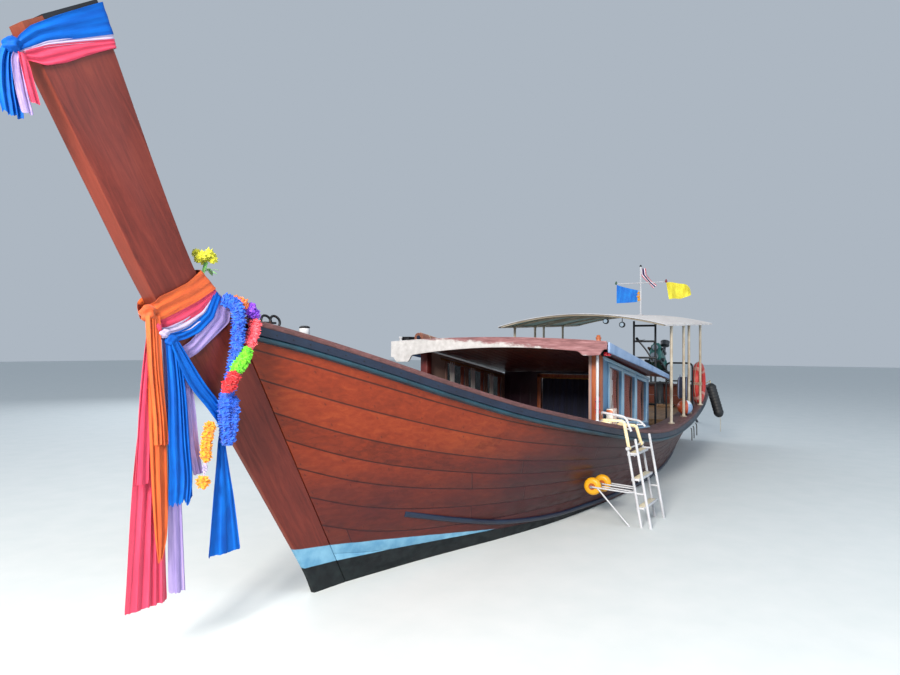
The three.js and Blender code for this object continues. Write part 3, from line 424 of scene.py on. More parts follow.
def shaped(obj, kind, **settings):
    """Adds a modifier and applies it."""
    modifier = obj.modifiers.new(kind.title(), kind)
    for key, value in settings.items():
        setattr(modifier, key, value)
    pick(obj)
    bpy.ops.object.modifier_apply(modifier=modifier.name)
    return obj


def rounded(obj, width, segments=2, angle=35):
    """Bevels the sharp edges."""
    return shaped(obj, "BEVEL", width=width, segments=segments, limit_method="ANGLE",
        angle_limit=math.radians(angle), use_clamp_overlap=True)


def smoothed(obj, angle=35):
    pick(obj)
    bpy.ops.object.shade_smooth_by_angle(angle=math.radians(angle))
    return obj


def joined(*objects):
    """Joins objects, and lists of them, into the first one."""
    flat = []
    for obj in objects:
        flat.extend(obj if isinstance(obj, list) else [obj])
    if len(flat) > 1:
        pick(*flat[1:], flat[0])
        bpy.ops.object.join()
    return flat[0]


def finished(obj, name, material, *nodes, body="hull", slot=None, smooth=35):
    """Gives a piece, or a list joined into one, its name, finish and body, and hides what it stands for."""
    obj = joined(obj)
    pick(obj)
    bpy.ops.object.transform_apply(location=True, rotation=True, scale=True)
    if smooth:
        smoothed(obj, smooth)
    obj.name = name
    obj.data.name = name
    obj.data.materials.clear()
    obj.data.materials.append(material)
    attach(obj, body)
    if nodes:
        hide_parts(*nodes)
    return obj


def laid(columns, rows, place, uv=None):
    """A grid whose point i, j is moved to place(i, j)."""
    bpy.ops.object.select_all(action="DESELECT")
    bpy.ops.mesh.primitive_grid_add(x_subdivisions=columns, y_subdivisions=rows, size=1)
    obj = bpy.context.object
    mesh = obj.data
    index = [(round((p.co.x + 0.5) * columns), round((p.co.y + 0.5) * rows)) for p in mesh.vertices]
    for point, (i, j) in zip(mesh.vertices, index):
        point.co = place(i, j)
    if uv:
        layer = mesh.uv_layers[0].data
        for loop in mesh.loops:
            layer[loop.index].uv = uv(*index[loop.vertex_index])
    return obj


def lofted(rings, closed=True, ends=True, uv=None):
    """A skin over rings of equal count."""
    count = len(rings[0])
    obj = laid(count if closed else count - 1, len(rings) - 1, lambda i, j: rings[j][i % count], uv)
    steps = [("remove_doubles", {"threshold": 1e-6})]
    if closed and ends:
        steps.append(("fill_holes", {"sides": 0}))
    if closed:
        steps.append(("normals_make_consistent", {"inside": False}))
    return edited(obj, *steps)


def bar(low, high, round_off=0.003):
    """A block between two corners, with eased edges."""
    middle = [(a + b) / 2 for a, b in zip(low, high)]
    bpy.ops.object.select_all(action="DESELECT")
    bpy.ops.mesh.primitive_cube_add(size=1, location=middle, scale=[b - a for a, b in zip(low, high)])
    obj = bpy.context.object
    bpy.ops.object.transform_apply(location=True, rotation=True, scale=True)
    if round_off:
        edited(obj, ("bevel", {"offset": round_off, "segments": 2, "affect": "EDGES"}))
    return obj


def smooth_path(points, per=6):
    """A smooth curve through the points."""
    points = [Vector(p) for p in points]
    ends = [2 * points[0] - points[1]] + points + [2 * points[-1] - points[-2]]
    path = []
    for k in range(len(points) - 1):
        a, b, c, d = ends[k:k + 4]
        for i in range(per):
            t = i / per
            path.append(0.5 * (2 * b + (c - a) * t + (2 * a - 5 * b + 4 * c - d) * t ** 2
                + (3 * b - a - 3 * c + d) * t ** 3))
    path.append(points[-1])
    return path


def bent(points, radius=0.05, steps=5):
    """The points joined by straight runs, with each corner bent on a radius."""
    points = [Vector(p) for p in points]
    path = [points[0]]
    for before, corner, after in zip(points, points[1:], points[2:]):
        reach = min(radius, 0.45 * (before - corner).length, 0.45 * (after - corner).length)
        start = corner + (before - corner).normalized() * reach
        end = corner + (after - corner).normalized() * reach
        for k in range(steps + 1):
            t = k / steps
            path.append(start * (1 - t) ** 2 + corner * 2 * t * (1 - t) + end * t ** 2)
    path.append(points[-1])
    return path


def tube(points, radius, sides=12, ring=False):
    """A round bar along a route. radius may be a list, one for each point."""
    points = [Vector(p) for p in points]
    count = len(points)
    radii = radius if isinstance(radius, list) else [radius] * count
    ways = []
    for k in range(count):
        after = points[(k + 1) % count] if ring else points[min(k + 1, count - 1)]
        before = points[k - 1] if ring else points[max(k - 1, 0)]
        ways.append((after - before).normalized())
    side = ways[0].orthogonal().normalized()
    rings = []
    for point, way, size in zip(points, ways, radii):
        side = (side - way * side.dot(way)).normalized()
        other = way.cross(side)
        rings.append([point + (side * math.cos(TURN * k / sides)
            + other * math.sin(TURN * k / sides)) * size for k in range(sides)])
    if ring:
        rings.append(rings[0])
    return lofted(rings, ends=not ring, uv=lambda i, j: (j / 40, i / sides))


def turned(start, end, profile, sides=24):
    """A piece turned on the line from start towards end. profile holds distances along and radii."""
    start, end = Vector(start), Vector(end)
    way = (end - start).normalized()
    side = way.orthogonal().normalized()
    other = way.cross(side)
    rings = [[start + way * along + (side * math.cos(TURN * k / sides)
        + other * math.sin(TURN * k / sides)) * max(size, 1e-7) for k in range(sides)]
        for along, size in profile]
    return lofted(rings, ends=profile[0] != profile[-1])


def raised(foot, profile, sides=24):
    """A piece turned on the vertical line up from its foot."""
    return turned(foot, Vector(foot) + Vector(UP), profile, sides)


def flange(foot, radius, swell, neck):
    """A round flange that draws in by a swell to a tube's neck."""
    return raised(foot, [(0, radius), (0.005, radius), (0.008, swell), (0.02, neck)], 16)


def circle(centre, radius, axis, count):
    """Points round a centre, square to axis 0, 1 or 2. radius may be two."""
    wide, high = radius if isinstance(radius, tuple) else (radius, radius)
    first, second = [k for k in range(3) if k != axis]
    points = []
    for k in range(count):
        point = list(centre)
        point[first] += wide * math.cos(TURN * k / count)
        point[second] += high * math.sin(TURN * k / count)
        points.append(tuple(point))
    return points


def loop(centre, radius, axis, count, thick, sides=8):
    """A closed ring of round bar or rope."""
    return tube(circle(centre, radius, axis, count), thick, sides, ring=True)


def drum(start, end, radius, sides=24, chamfer=0.003):
    length = (Vector(end) - Vector(start)).length
    return turned(start, end, [(0, radius - chamfer), (chamfer, radius), (length - chamfer, radius),
        (length, radius - chamfer)], sides)


def ball(centre, radius, sides=24):
    centre = Vector(centre)
    steps = sides // 2
    profile = [(radius * (1 - math.cos(math.pi * k / steps)), radius * math.sin(math.pi * k / steps))
        for k in range(steps + 1)]
    return turned(centre - Vector((0, 0, radius)), centre, profile, sides)


def parted(low, high, count, gap):
    """The edges of boards laid side by side from low to high, each drawn in by a gap."""
    return [(low + (high - low) * k / count + gap, low + (high - low) * (k + 1) / count - gap)
        for k in range(count)]


def softened(node, width=0.003):
    """A copy of a CAD node with its facets merged and its sharp edges eased."""
    bpy.ops.object.select_all(action="DESELECT")
    obj = bpy.data.objects.new(node + "_eased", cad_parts[node].data.copy())
    bpy.context.scene.collection.objects.link(obj)
    edited(obj, ("remove_doubles", {"threshold": 1e-5}),
        ("dissolve_limited", {"angle_limit": math.radians(1)}))
    return rounded(obj, width)


def screw_heads(places, way, radius=0.007, height=0.0025):
    """Domed heads at the places, standing out along way."""
    way = Vector(way)
    profile = [(0, radius), (height, radius), (1.7 * height, 0.7 * radius), (2 * height, 0)]
    return [turned(Vector(place) - way * height, Vector(place) + way, profile, 8) for place in places]


def cut_size(obj, columns, rows):
    """Width and length of the flat cloth that a grid was folded from: the mean of its rows and columns."""
    def run(start, step, count):
        points = [obj.data.vertices[start + step * k].co for k in range(count + 1)]
        return sum((b - a).length for a, b in zip(points, points[1:]))
    width = sum(run(j * (columns + 1), 1, columns) for j in range(rows + 1)) / (rows + 1)
    length = sum(run(i, columns + 1, rows) for i in range(columns + 1)) / (columns + 1)
    return width, length


def sheet(name, finish, columns, rows, place, pitch, thick, held, rests, *nodes, soft=True, smooth=70):
    """A cloth laid by a function and given its thickness. The size that its folds add up to is worked out,
    and not used.
    """
    obj = laid(columns, rows, place, uv=lambda i, j: (i * pitch[0], j * pitch[1]))
    cut = cut_size(obj, columns, rows)
    if soft:
        shaped(obj, "SUBSURF", levels=1, render_levels=1)
    shaped(obj, "SOLIDIFY", thickness=thick, offset=0)
    finished(obj, name, finish, *nodes, smooth=smooth)


# Camera, light and floor

def camera():
    bpy.ops.object.camera_add(location=(8.552, 3.259, 1.70))
    eye = bpy.context.object
    eye.rotation_euler = Vector((-0.857, -0.515, 0.0177)).to_track_quat("-Z", "Y").to_euler()
    eye.rotation_euler.rotate_axis("Z", 0.006)
    eye.data.lens = 27.04
    eye.data.sensor_width = 36
    eye.data.clip_end = 200
    bpy.context.scene.camera = eye


def lamp(name, place, target, size, power, tint):
    bpy.ops.object.light_add(type="AREA", location=place)
    light = bpy.context.object
    light.name = name
    light.rotation_euler = (Vector(target) - Vector(place)).to_track_quat("-Z", "Y").to_euler()
    light.data.size = size
    light.data.energy = power
    light.data.color = tint


def studio():
    lamp("key", (15, 2.8, 6.5), (3, 0, 1), 3, 2700, (1.0, 0.93, 0.84))
    lamp("fill", (3, 13, 7), (0, 0, 1), 8, 650, (0.88, 0.94, 1.0))
    lamp("far_side", (-6, -13, 9), (0, 0, 1), 8, 700, (0.92, 0.96, 1.0))
    world = bpy.data.worlds.new("pale_room")
    bpy.context.scene.world = world
    world.use_nodes = True
    shader = world.node_tree.nodes["Background"]
    shader.inputs["Color"].default_value = (0.76, 0.86, 0.98, 1)
    shader.inputs["Strength"].default_value = 0.55
    bpy.context.scene.view_settings.view_transform = "Standard"
    bpy.ops.object.select_all(action="DESELECT")
    bpy.ops.mesh.primitive_plane_add(size=160)
    floor = bpy.context.object
    floor.name = "floor"
    f = Finish("floor_paper", roughness=0.7)
    grain = f.noise(f.place(), scale=3, detail=3)
    floor.data.materials.append(f.finish(f.ramp(grain, (0.3, (0.64, 0.69, 0.70)),
        (0.7, (0.68, 0.72, 0.73))), bump=grain, strength=0.02))


camera()
studio()


# Hull form, as in the part's source, in metres

LINES = [[-5.0, 0.0, -0.1, 0.26, 1.06, 0.88], [-4.3, 0.0, -0.2, 0.4, 0.995, 0.975],
         [-3.4, 0.0, -0.29, 0.56, 0.915, 1.09], [-2.4, 0.0, -0.35, 0.71, 0.835, 1.185],
         [-1.4, 0.0, -0.39, 0.84, 0.765, 1.25], [-0.3, 0.0, -0.4, 0.91, 0.735, 1.28],
         [0.75, 0.06, -0.4, 0.88, 0.8, 1.27], [1.65, 0.16, -0.38, 0.79, 0.945, 1.215],
         [2.4, 0.27, -0.34, 0.67, 1.1, 1.09], [3.05, 0.356, -0.28, 0.51, 1.265, 0.91],
         [3.55, 0.447, -0.22, 0.36, 1.455, 0.69], [4.0, 0.486, -0.17, 0.23, 1.645, 0.445],
         [4.4, 0.5, -0.13, 0.13, 1.795, 0.235], [4.68, 0.565, -0.11, 0.062, 1.9, 0.104]]
LAST = len(LINES) - 1
CAP = 0.040
RAIL = 0.045
SKIN = 0.034
WATER_ROW = 0.4
FINE = 8
STATIONS = [k / FINE for k in range(LAST * FINE + 1)]


def station(u):
    """x at the waterline, rake, keel, half-breadth at the waterline, sheer, half-breadth at the sheer."""
    i = min(max(int(u), 0), LAST - 1)
    t = u - i
    before = LINES[i - 1] if i else [2 * a - b for a, b in zip(LINES[0], LINES[1])]
    after = LINES[i + 2] if i + 2 <= LAST else [2 * a - b for a, b in zip(LINES[LAST], LINES[LAST - 1])]
    return [0.5 * (2 * b + (c - a) * t + (2 * a - 5 * b + 4 * c - d) * t ** 2
        + (3 * b - a - 3 * c + d) * t ** 3) for a, b, c, d in zip(before, LINES[i], LINES[i + 1], after)]


def skin(u, v, inset=0.0):
    """A point of the port planking at station u and row v, from the keel at 0 to the sheer at 1."""
    x, rake, keel, water, sheer, half = station(u)
    top = sheer - CAP
    edge = half - RAIL
    if v <= WATER_ROW:
        t = v / WATER_ROW
        slope = (edge - water) / top
        a = (min(0.05, water), keel)
        b = (max(water + slope * keel * 0.8 - 0.02, a[0] + 0.4 * (water - a[0])), keel * 0.8)
        c = (water, 0)
    else:
        t = (v - WATER_ROW) / (1 - WATER_ROW)
        a = (water, 0)
        b = (water + (edge - water) * 0.45, top / 2)
        c = (edge, top)
    y, z = [(1 - t) ** 2 * a[k] + 2 * t * (1 - t) * b[k] + t * t * c[k] for k in (0, 1)]
    y = max(y - inset, 0.009)
    z += inset * 1.4 * (1 - v)
    return Vector((x + rake * z, y, z))


def station_at(x, z):
    low, high = 0.0, float(LAST)
    for _ in range(30):
        middle = (low + high) / 2
        row = station(middle)
        if row[0] + row[1] * z < x:
            low = middle
        else:
            high = middle
    return low


def sheer_at(x):
    """Half-breadth and height of the sheer."""
    z = 1.0
    for _ in range(8):
        z = station(station_at(x, z))[4]
    row = station(station_at(x, z))
    return row[5], row[4]


def breadth(x, z):
    """Half-breadth of the planking's outer face."""
    u = station_at(x, z)
    low, high = 0.0, 1.0
    for _ in range(24):
        middle = (low + high) / 2
        if skin(u, middle).z < z:
            low = middle
        else:
            high = middle
    return skin(u, low).y


# Hull

SEAMS = [0, 0.1, 0.2, 0.3, 0.4, 0.475, 0.55, 0.62, 0.69, 0.755, 0.815, 0.885, 0.95, 1]
GROOVE = 0.0045
INNER_ROWS = [0.99, 0.9, 0.8, 0.7, 0.6, 0.5, 0.4, 0.3, 0.2, 0.1, 0]


def plank_rows():
    """Row, plank number and inset of each line of points from the keel to the sheer."""
    rows = [(0.0, 0.0, 0.0)]
    lip = 0.006
    for k, (low, high) in enumerate(zip(SEAMS, SEAMS[1:])):
        rows += [(low + lip, k + 0.06, 0.0), ((low + high) / 2, k + 0.5, 0.0), (high - lip, k + 0.94, 0.0)]
        rows.append((high, k + 1.0, 0.0 if high == 1 else GROOVE))
    return rows


def plank_dip(u, v):
    """How far a plank's row drops just abaft the stem, where the planks fall more steeply."""
    ahead, abaft = min(1, (LAST - u) / 2.6), max(0, min(1, (u - 3) / 7))
    up = max(0, min(1, (v - WATER_ROW) / 0.15, (1 - v) / 0.2))
    return 0.05 * math.sin(0.5 * math.pi * ahead) * abaft * abaft * (3 - 2 * abaft) * up


def hull_planking():
    """The planking as one closed skin: the outside from sheer to keel to sheer, then the inside back."""
    rows = plank_rows()
    inner = [(v, 20 + v, SKIN) for v in INNER_ROWS]
    order = ([(*row, -1) for row in reversed(rows)] + [(*row, 1) for row in rows]
        + [(*row, 1) for row in inner] + [(*row, -1) for row in reversed(inner)])
    rings = []
    lengths = [0.0]
    for u in STATIONS:
        ring = []
        for v, _, inset, side in order:
            point = skin(u, v - (plank_dip(u, v) if inset < SKIN else 0), inset)
            ring.append(Vector((point.x, side * point.y, point.z)))
        rings.append(ring)
        if len(rings) > 1:
            lengths.append(lengths[-1] + (rings[-1][0] - rings[-2][0]).length)
    obj = lofted(rings, uv=lambda i, j: (lengths[j], order[i % len(order)][1]))
    finished(obj, "hull_planking", HULL_VARNISH, "hull_shell", smooth=30)


def transom_planks():
    """The transom's boards, let in between the planking's ends, and its knees."""
    face, back = -5.0, -4.966
    top = station(0)[4] - CAP - 0.002
    low = station(0)[2] + 0.02
    boards = []
    for z0, z1 in parted(low, top, 6, 0.0015):
        rings = []
        for share in (0, 0.02, 0.5, 0.98, 1):
            z = z0 + (z1 - z0) * share
            half = breadth(face, z) - 0.012
            x = face + (0.003 if share in (0, 1) else 0)
            rings.append([(x, -half, z), (x, half, z), (back, half, z), (back, -half, z)])
        boards.append(lofted(rings))
    knees = [bar((back, y - 0.03, DECK_TOP + 0.0005), (-4.90, y + 0.03, top - 0.02), 0.004)
        for y in (-0.45, 0, 0.45)]
    finished(boards + knees, "transom_planks", DECK_PAINTED, "hull_shell")


def along_sheer(corners, side, uv=None):
    """A moulding that follows the sheer. A corner is edge, out, up: edge 1 is the side deck's inner edge."""
    rings = []
    for u in STATIONS:
        x, rake, _, _, sheer, half = station(u)
        inner = min(max(half - 0.205, 0.4 * half), 0.975)
        rings.append([Vector((x + rake * (sheer + up), side * ((inner if edge else half) + out),
            sheer + up)) for edge, out, up in corners])
    return lofted(rings, uv=uv)


def gunwales():
    for side, name in SIDES:
        e = 0.006
        low = -CAP + GAP
        cap = along_sheer([(0, -e, 0), (0, -0.3 * e, -0.3 * e), (0, 0, -e), (0, 0, low + e), (0, -e, low),
            (1, e, low), (1, 0, low + e), (1, 0, -e), (1, e, 0)], side,
            uv=lambda i, j: (j * 0.12, i * 0.02))
        finished(cap, "gunwale_cap_" + name, CAP_TIMBER, "gunwale_" + name, smooth=50)
        # The rub rail: a navy board against the planking, with a teal moulding along its foot
        under = low - 2 * GAP
        board = along_sheer([(0, -0.004, under), (0, -0.052, under), (0, -0.052, under - 0.060),
            (0, -0.008, under - 0.060), (0, -0.004, under - 0.056)], side)
        finished(board, "rub_board_" + name, NAVY_PAINT, "rub_rail_" + name, smooth=40)
        middle = under - 0.078
        section = [(0, -0.023 + 0.019 * math.cos(a), middle + 0.018 * math.sin(a))
            for a in [math.radians(d) for d in range(-90, 91, 20)]]
        section += [(0, -0.062, middle + 0.018), (0, -0.062, middle - 0.018)]
        moulding = along_sheer(section, side)
        finished(moulding, "rub_moulding_" + name, TEAL_PAINT, "rub_rail_" + name, smooth=60)
        bolts = []
        for k in range(1, LAST * 4):
            x, rake, _, _, sheer, half = station(k / 4)
            z = sheer + under - 0.030
            bolts += screw_heads([(x + rake * z, side * (half - 0.004), z)], (0, side, 0), 0.006, 0.002)
        finished(bolts, "rub_board_bolts_" + name, DARK_IRON)


STRAKE_PATH = [(-3.6, 0.06), (-1.2, 0.05), (0.4, 0.06), (1.7, 0.075), (2.4, 0.095), (3.08, 0.165),
    (3.64, 0.28), (4.23, 0.43)]


def strakes():
    """Half-round rubbing strakes low on the planking, dying into it at both ends."""
    section = [(-0.014, -0.026), (0.010, -0.026), (0.020, -0.021), (0.0255, -0.012), (0.0255, 0.004),
        (0.020, 0.012), (0.010, 0.017), (-0.014, 0.022)]
    path = smooth_path([(x, 0, z) for x, z in STRAKE_PATH], 10)
    for side, name in SIDES:
        rings = []
        for k, p in enumerate(path):
            share = k / (len(path) - 1)
            swell = min(1, 12 * share + 0.25, 12 * (1 - share) + 0.25)
            rings.append([(p.x, side * (breadth(p.x, p.z + up) + (out * swell if out > 0 else out)),
                p.z + up) for out, up in section])
        finished(lofted(rings), "rubbing_strake_" + name, NAVY_PAINT, "strake_" + name, smooth=50)


# The stem's fore edge runs up into the prow; its after edge lies on the planking's ends, then leaves them
STEM_FRONT = [(4.88, -0.12), (4.94, -0.07), (4.985, 0.03), (5.070, 0.19), (5.328, 0.58), (5.597, 0.98),
    (5.905, 1.43), (6.272, 1.955), (6.577, 2.47), (6.893, 3.017), (6.97, 3.16)]
STEM_BACK = [(4.6185, -0.11), (4.6409, -0.07), (4.6975, 0.03), (4.7879, 0.19), (5.008, 0.58),
    (5.2342, 0.98), (5.488, 1.43), (5.757, 1.905), (6.030, 2.150), (6.540, 3.239), (6.618, 3.413)]
STEM_HALF = 0.058


def prow_timber():
    """The stem and the prow above it, sawn from one heavy timber, with eased edges."""
    per = 6
    front, back = [smooth_path([(x, 0, z) for x, z in edge], per) for edge in (STEM_FRONT, STEM_BACK)]
    half = STEM_HALF
    rings = []
    for k, (f, b) in enumerate(zip(front, back)):
        if k <= 7 * per:
            # Along the planking the after edge is straight
            b = Vector((4.6805 + 0.565 * b.z, 0, b.z))
        way = (f - b).normalized()
        # Low down the fore edge is bevelled to a narrow nose
        nose = 0.02 + (half - 0.02) * min(1, max(0, (f.z - 1.1) / 0.75))
        ease = min(0.009, 0.2 * (f - b).length)
        edge = [(b + way * ease, half), (f - way * ease, nose), (f - way * 0.3 * ease, nose - 0.3 * ease),
            (f, nose - ease), (f, 0.4 * nose)]
        rings.append([p + Vector((0, y, 0)) for p, y in edge]
            + [p - Vector((0, y, 0)) for p, y in edge[::-1]]
            + [b + Vector((0, y, 0)) for y in (ease - half, half - ease)])
    length = [0.0]
    for one, two in zip(front, front[1:]):
        length.append(length[-1] + (two - one).length)
    across = [0.35, 0.02, 0.01, 0, 0, 0, 0, 0.01, 0.02, 0.35, 0.4, 0.4, 0.35]
    obj = lofted(rings, uv=lambda i, j: (length[j], across[i]))
    finished(obj, "prow_timber", PROW_WOOD, "stem_post", smooth=40)

    # Capping strip on the head's sawn end, left off the front corner
    low, high = [Vector((x, 0, z)) for x, z in (STEM_FRONT[-1], STEM_BACK[-1])]
    way = (high - low).normalized()
    out = Vector((-way.z, 0, way.x))
    if out.z < 0:
        out = -out
    start = low + way * 0.11
    section = ((-0.0605, -0.016), (-0.0605, 0.006), (0.0605, 0.006), (0.0605, -0.016))
    cap = lofted([[p + Vector((0, y, 0)) + out * lift for y, lift in section]
        for p in (start, start.lerp(high, 0.5), high - way * 0.006)])
    finished(cap, "prow_cap_strip", DARK_IRON)


def foredeck_boards():
    """Boards across the bow, following the sheer, on the riser that closes them aft."""
    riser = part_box("foredeck")[0][0]
    aft, fore = [row[0] + row[1] * row[4] for row in (station(station_at(4.4, 1.7)), station(LAST - 0.55))]
    aft = max(aft, riser + 0.03)
    boards = []
    for a, b in parted(aft, fore, int((fore - aft) / 0.11), 0.0012):
        rings = []
        for x in (a, (a + b) / 2, b):
            z = sheer_at(x)[1] - 0.042
            w = max(breadth(x, z - 0.03) - SKIN - 0.001, 0.012)
            rings.append([(x, -w, z), (x, w, z), (x, w, z - 0.022), (x, -w, z - 0.022)])
        boards.append(rounded(lofted(rings), 0.0025))
    sheer = sheer_at(riser)[1]
    z = SOLE_TOP + 0.0005
    while z < sheer - 0.06:
        top = min(z + 0.14, sheer - 0.052)
        w = min(breadth(riser, z + 0.01), breadth(riser, top)) - SKIN - 0.002
        boards.append(bar((riser, -w, z + 0.001), (riser + 0.028, w, top - 0.001), 0.0025))
        z = top
    finished(boards, "foredeck_boards", DECK_TIMBER, "foredeck")


def floor_boards(name, node, x0, x1, top, thick):
    """Boards laid fore and aft, trimmed to the planking."""
    boards = []
    steps = 40
    for y0, y1 in parted(-1.3, 1.3, 22, 0.0015):
        rings = []
        for s in range(steps + 1):
            x = x0 + (x1 - x0) * s / steps
            w = breadth(x, top - thick) - SKIN - 0.001
            a, b = max(y0, -w), min(y1, w)
            if b - a > 0.015:
                rings.append([(x, a, top), (x, b, top), (x, b, top - thick), (x, a, top - thick)])
        if len(rings) > 1:
            boards.append(rounded(lofted(rings), 0.002))
    finished(boards, name, DECK_TIMBER, node)


def decks():
    floor_boards("sole_boards", "cabin_sole", SOLE_END, 3.9, SOLE_TOP, 0.028)
    floor_boards("after_deck_boards", "aft_deck", -4.955, SOLE_END - 0.001, DECK_TOP, 0.030)
    x = SOLE_END - GAP
    low = SOLE_TOP + 0.001
    face = []
    for z0 in (low, low + 0.13):
        w = breadth(x, z0) - SKIN - 0.002
        face.append(bar((x - 0.030, -w, z0), (x, w, z0 + 0.128), 0.003))
    finished(face, "after_deck_riser", DECK_TIMBER, "aft_deck")


def hull_frames():
    """Sawn frames inside the planking, from the sole up to the side decks."""
    ribs = []
    x = -4.5
    while x < 4.2:
        low = 0.02 + (DECK_TOP if x < SOLE_END else SOLE_TOP)
        top = sheer_at(x)[1] - 0.044
        for side in (1, -1):
            rings = []
            for k in range(9):
                z = low + (top - low) * k / 8
                y = side * (breadth(x, z) - SKIN + 0.001)
                inner = y - side * 0.034
                rings.append([(x - 0.02, y, z), (x + 0.02, y, z), (x + 0.02, inner, z), (x - 0.02, inner, z)])
            ribs.append(lofted(rings))
        x += 0.45
    finished(rounded(joined(ribs), 0.003), "hull_frames", INSIDE_WOOD)


HULL_VARNISH = hull_varnish()
PROW_WOOD = prow_wood()
CAP_TIMBER = wood("cap_timber", "38201f", "764c4d", grain=12, gloss=0.5, worn=0.25)
DECK_TIMBER = wood("deck_timber", "4a3426", "9b7a58", grain=10, gloss=0.55, worn=0.4)
INSIDE_WOOD = wood("inside_wood", "3a1a14", "7a3b28", turn=(0, math.pi / 2, 0), grain=9, gloss=0.5)
DECK_PAINTED = wood("transom_varnish", "5a2214", "a04a28", turn=(0, 0, math.pi / 2), gloss=0.35, coat=0.2)
NAVY_PAINT = enamel("navy_enamel", "08152e", "10233c", "1c1416", roughness=0.4, chips=0.15)
TEAL_PAINT = enamel("teal_enamel", "0a2936", "174252", "0c1e2c", roughness=0.4, chips=0.2)
DARK_IRON = metal("dark_iron", "2c2e33", "4a2c1c", roughness=0.45, metallic=0.7, rust=0.3)

hull_planking()
transom_planks()
gunwales()
strakes()
prow_timber()
foredeck_boards()
decks()
hull_frames()


# Ribbons on the prow

def line_at(points, share):
    """A place on a polyline of x and z, by its share of the points."""
    place = share * (len(points) - 1)
    k = min(int(place), len(points) - 2)
    t = place - k
    return [a + (b - a) * t for a, b in zip(points[k], points[k + 1])]


def wrapped(name, finish, upper, lower, knot, lift, node, seed):
    """A ribbon round the prow. upper and lower are its edges on each face, from the rear to the knot."""
    across = 10
    along = 22
    rear = 5
    # Share of the way to the knot, share of the way round the rear, and the face
    path = [(1 - k / along, 0.0, 1) for k in range(along + 1)]
    path += [(0.0, (k + 1) / (rear + 1), 0) for k in range(rear)]
    path += [(k / along, 0.0, -1) for k in range(along + 1)]

    def place(i, j):
        share, turn, side = path[j]
        s = i / across
        up, low = line_at(upper, share), line_at(lower, share)
        x, z = [a + (b - a) * s for a, b in zip(up, low)]
        wave = math.sin(TURN * (2.2 * s + 0.35 * math.sin(2.4 * share + seed) + seed))
        wave += 0.5 * math.sin(TURN * (5.06 * s + 1.3 * seed + 0.5 * share))
        ripple = 0.0052 * wave
        if side:
            out = STEM_HALF + lift + ripple * (0.35 + 0.65 * share)
            close = max(0.0, (share - 0.86) / 0.14)
            y = side * (out * (1 - close) + (0.016 if side > 0 else 0.03) * close)
            return (x + 0.02 * close, y + knot * close * 0.5, z)
        angle = math.pi * turn
        back = 0.010 + lift * 0.5 + 0.5 * ripple
        return (x - back * math.sin(angle), (STEM_HALF + lift) * math.cos(angle),
            z + back * 0.5 * math.sin(angle))

    sheet(name, finish, across, len(path) - 1, place, (0.02, 0.022), 0.0014, "gathered", "stem_post", node,
        smooth=60)


def hanging(name, finish, stops, node, folds, depth, fray, seed):
    """A ribbon's tail. stops hold x, y, z and width, from the knot to the hem."""
    across = 8 * folds
    path = smooth_path([stop[:3] for stop in stops], 14)
    widths = smooth_path([(stop[3], 0, 0) for stop in stops], 14)
    rows = len(path) - 1
    draw = random.Random(name)
    ends = [draw.uniform(-fray, fray) for _ in range(across + 1)]

    def place(i, j):
        s = i / across - 0.5
        share = j / rows
        p = path[j]
        width = widths[j][0]
        drift = 0.16 * math.sin(3.1 * share + seed)
        spread = s + 0.11 * math.sin(5.3 * s + 1.7 * seed) + 0.03 * math.sin(13 * s + 2.3 * seed + 2 * share)
        phase = TURN * (folds * spread + drift)
        full = min(1.0, width / 0.06) * (0.62 + 0.38 * math.sin(4.4 * s + 3 * seed + 1.6 * share))
        fold = math.sin(phase + seed) + 0.2 * math.sin(2.3 * phase + 2 * seed)
        x = p.x + width * s + 0.10 * width / folds * math.sin(2 * phase)
        hem = ends[i] * max(0.0, (share - 0.96) / 0.04)
        return (x, p.y + depth * full * fold * 0.9, p.z + hem)

    sheet(name, finish, across, rows, place, (0.3 / across, 0.02), 0.0012, "hung", "stem_post", node)


def knotted(name, finish, centre, size, node, turns=3, seed=0.0):
    """A knot: one full fold over another, creased where the ribbon is drawn tight."""
    centre = Vector(centre)
    sides, steps = 28, 18

    def place(i, j):
        a = TURN * i / sides
        b = math.pi * j / steps
        crease = 1 + 0.17 * math.sin(turns * 2 * b + 2.3 * math.sin(a + seed))
        crease += 0.07 * math.sin(5 * a + 4 * b) + 0.10 * math.sin(3 * a - 2 * b + seed)
        r = math.sin(b) * crease
        return centre + Vector((size[0] * r * math.cos(a), size[1] * r * math.sin(a), size[2] * math.cos(b)))

    obj = laid(sides, steps, place, uv=lambda i, j: (0.2 * i / sides, 0.12 * j / steps))
    edited(obj, ("remove_doubles", {"threshold": 1e-6}), ("normals_make_consistent", {"inside": False}))
    shaped(obj, "SUBSURF", levels=1, render_levels=1)
    finished(obj, name, finish, node, smooth=70)


ORANGE_SILK = cloth("orange_ribbon", "e26420", "b24210", threads=700, sheen=0.15, roughness=0.6)
PINK_SILK = cloth("pink_ribbon", "ec4468", "c8284e", threads=700, sheen=0.15, roughness=0.65, clear=0.18)
WHITE_SILK = cloth("white_ribbon", "d8cee4", "a497c4", threads=700, sheen=0.15, roughness=0.65, clear=0.12)
BLUE_SILK = cloth("blue_ribbon", "0068cc", "0046a0", threads=700, sheen=0.0, roughness=0.6, specular=0.2)
LAVENDER_SILK = cloth("lavender_ribbon", "b09cd2", "8070b0", threads=700, sheen=0.15, roughness=0.65,
    clear=0.1)

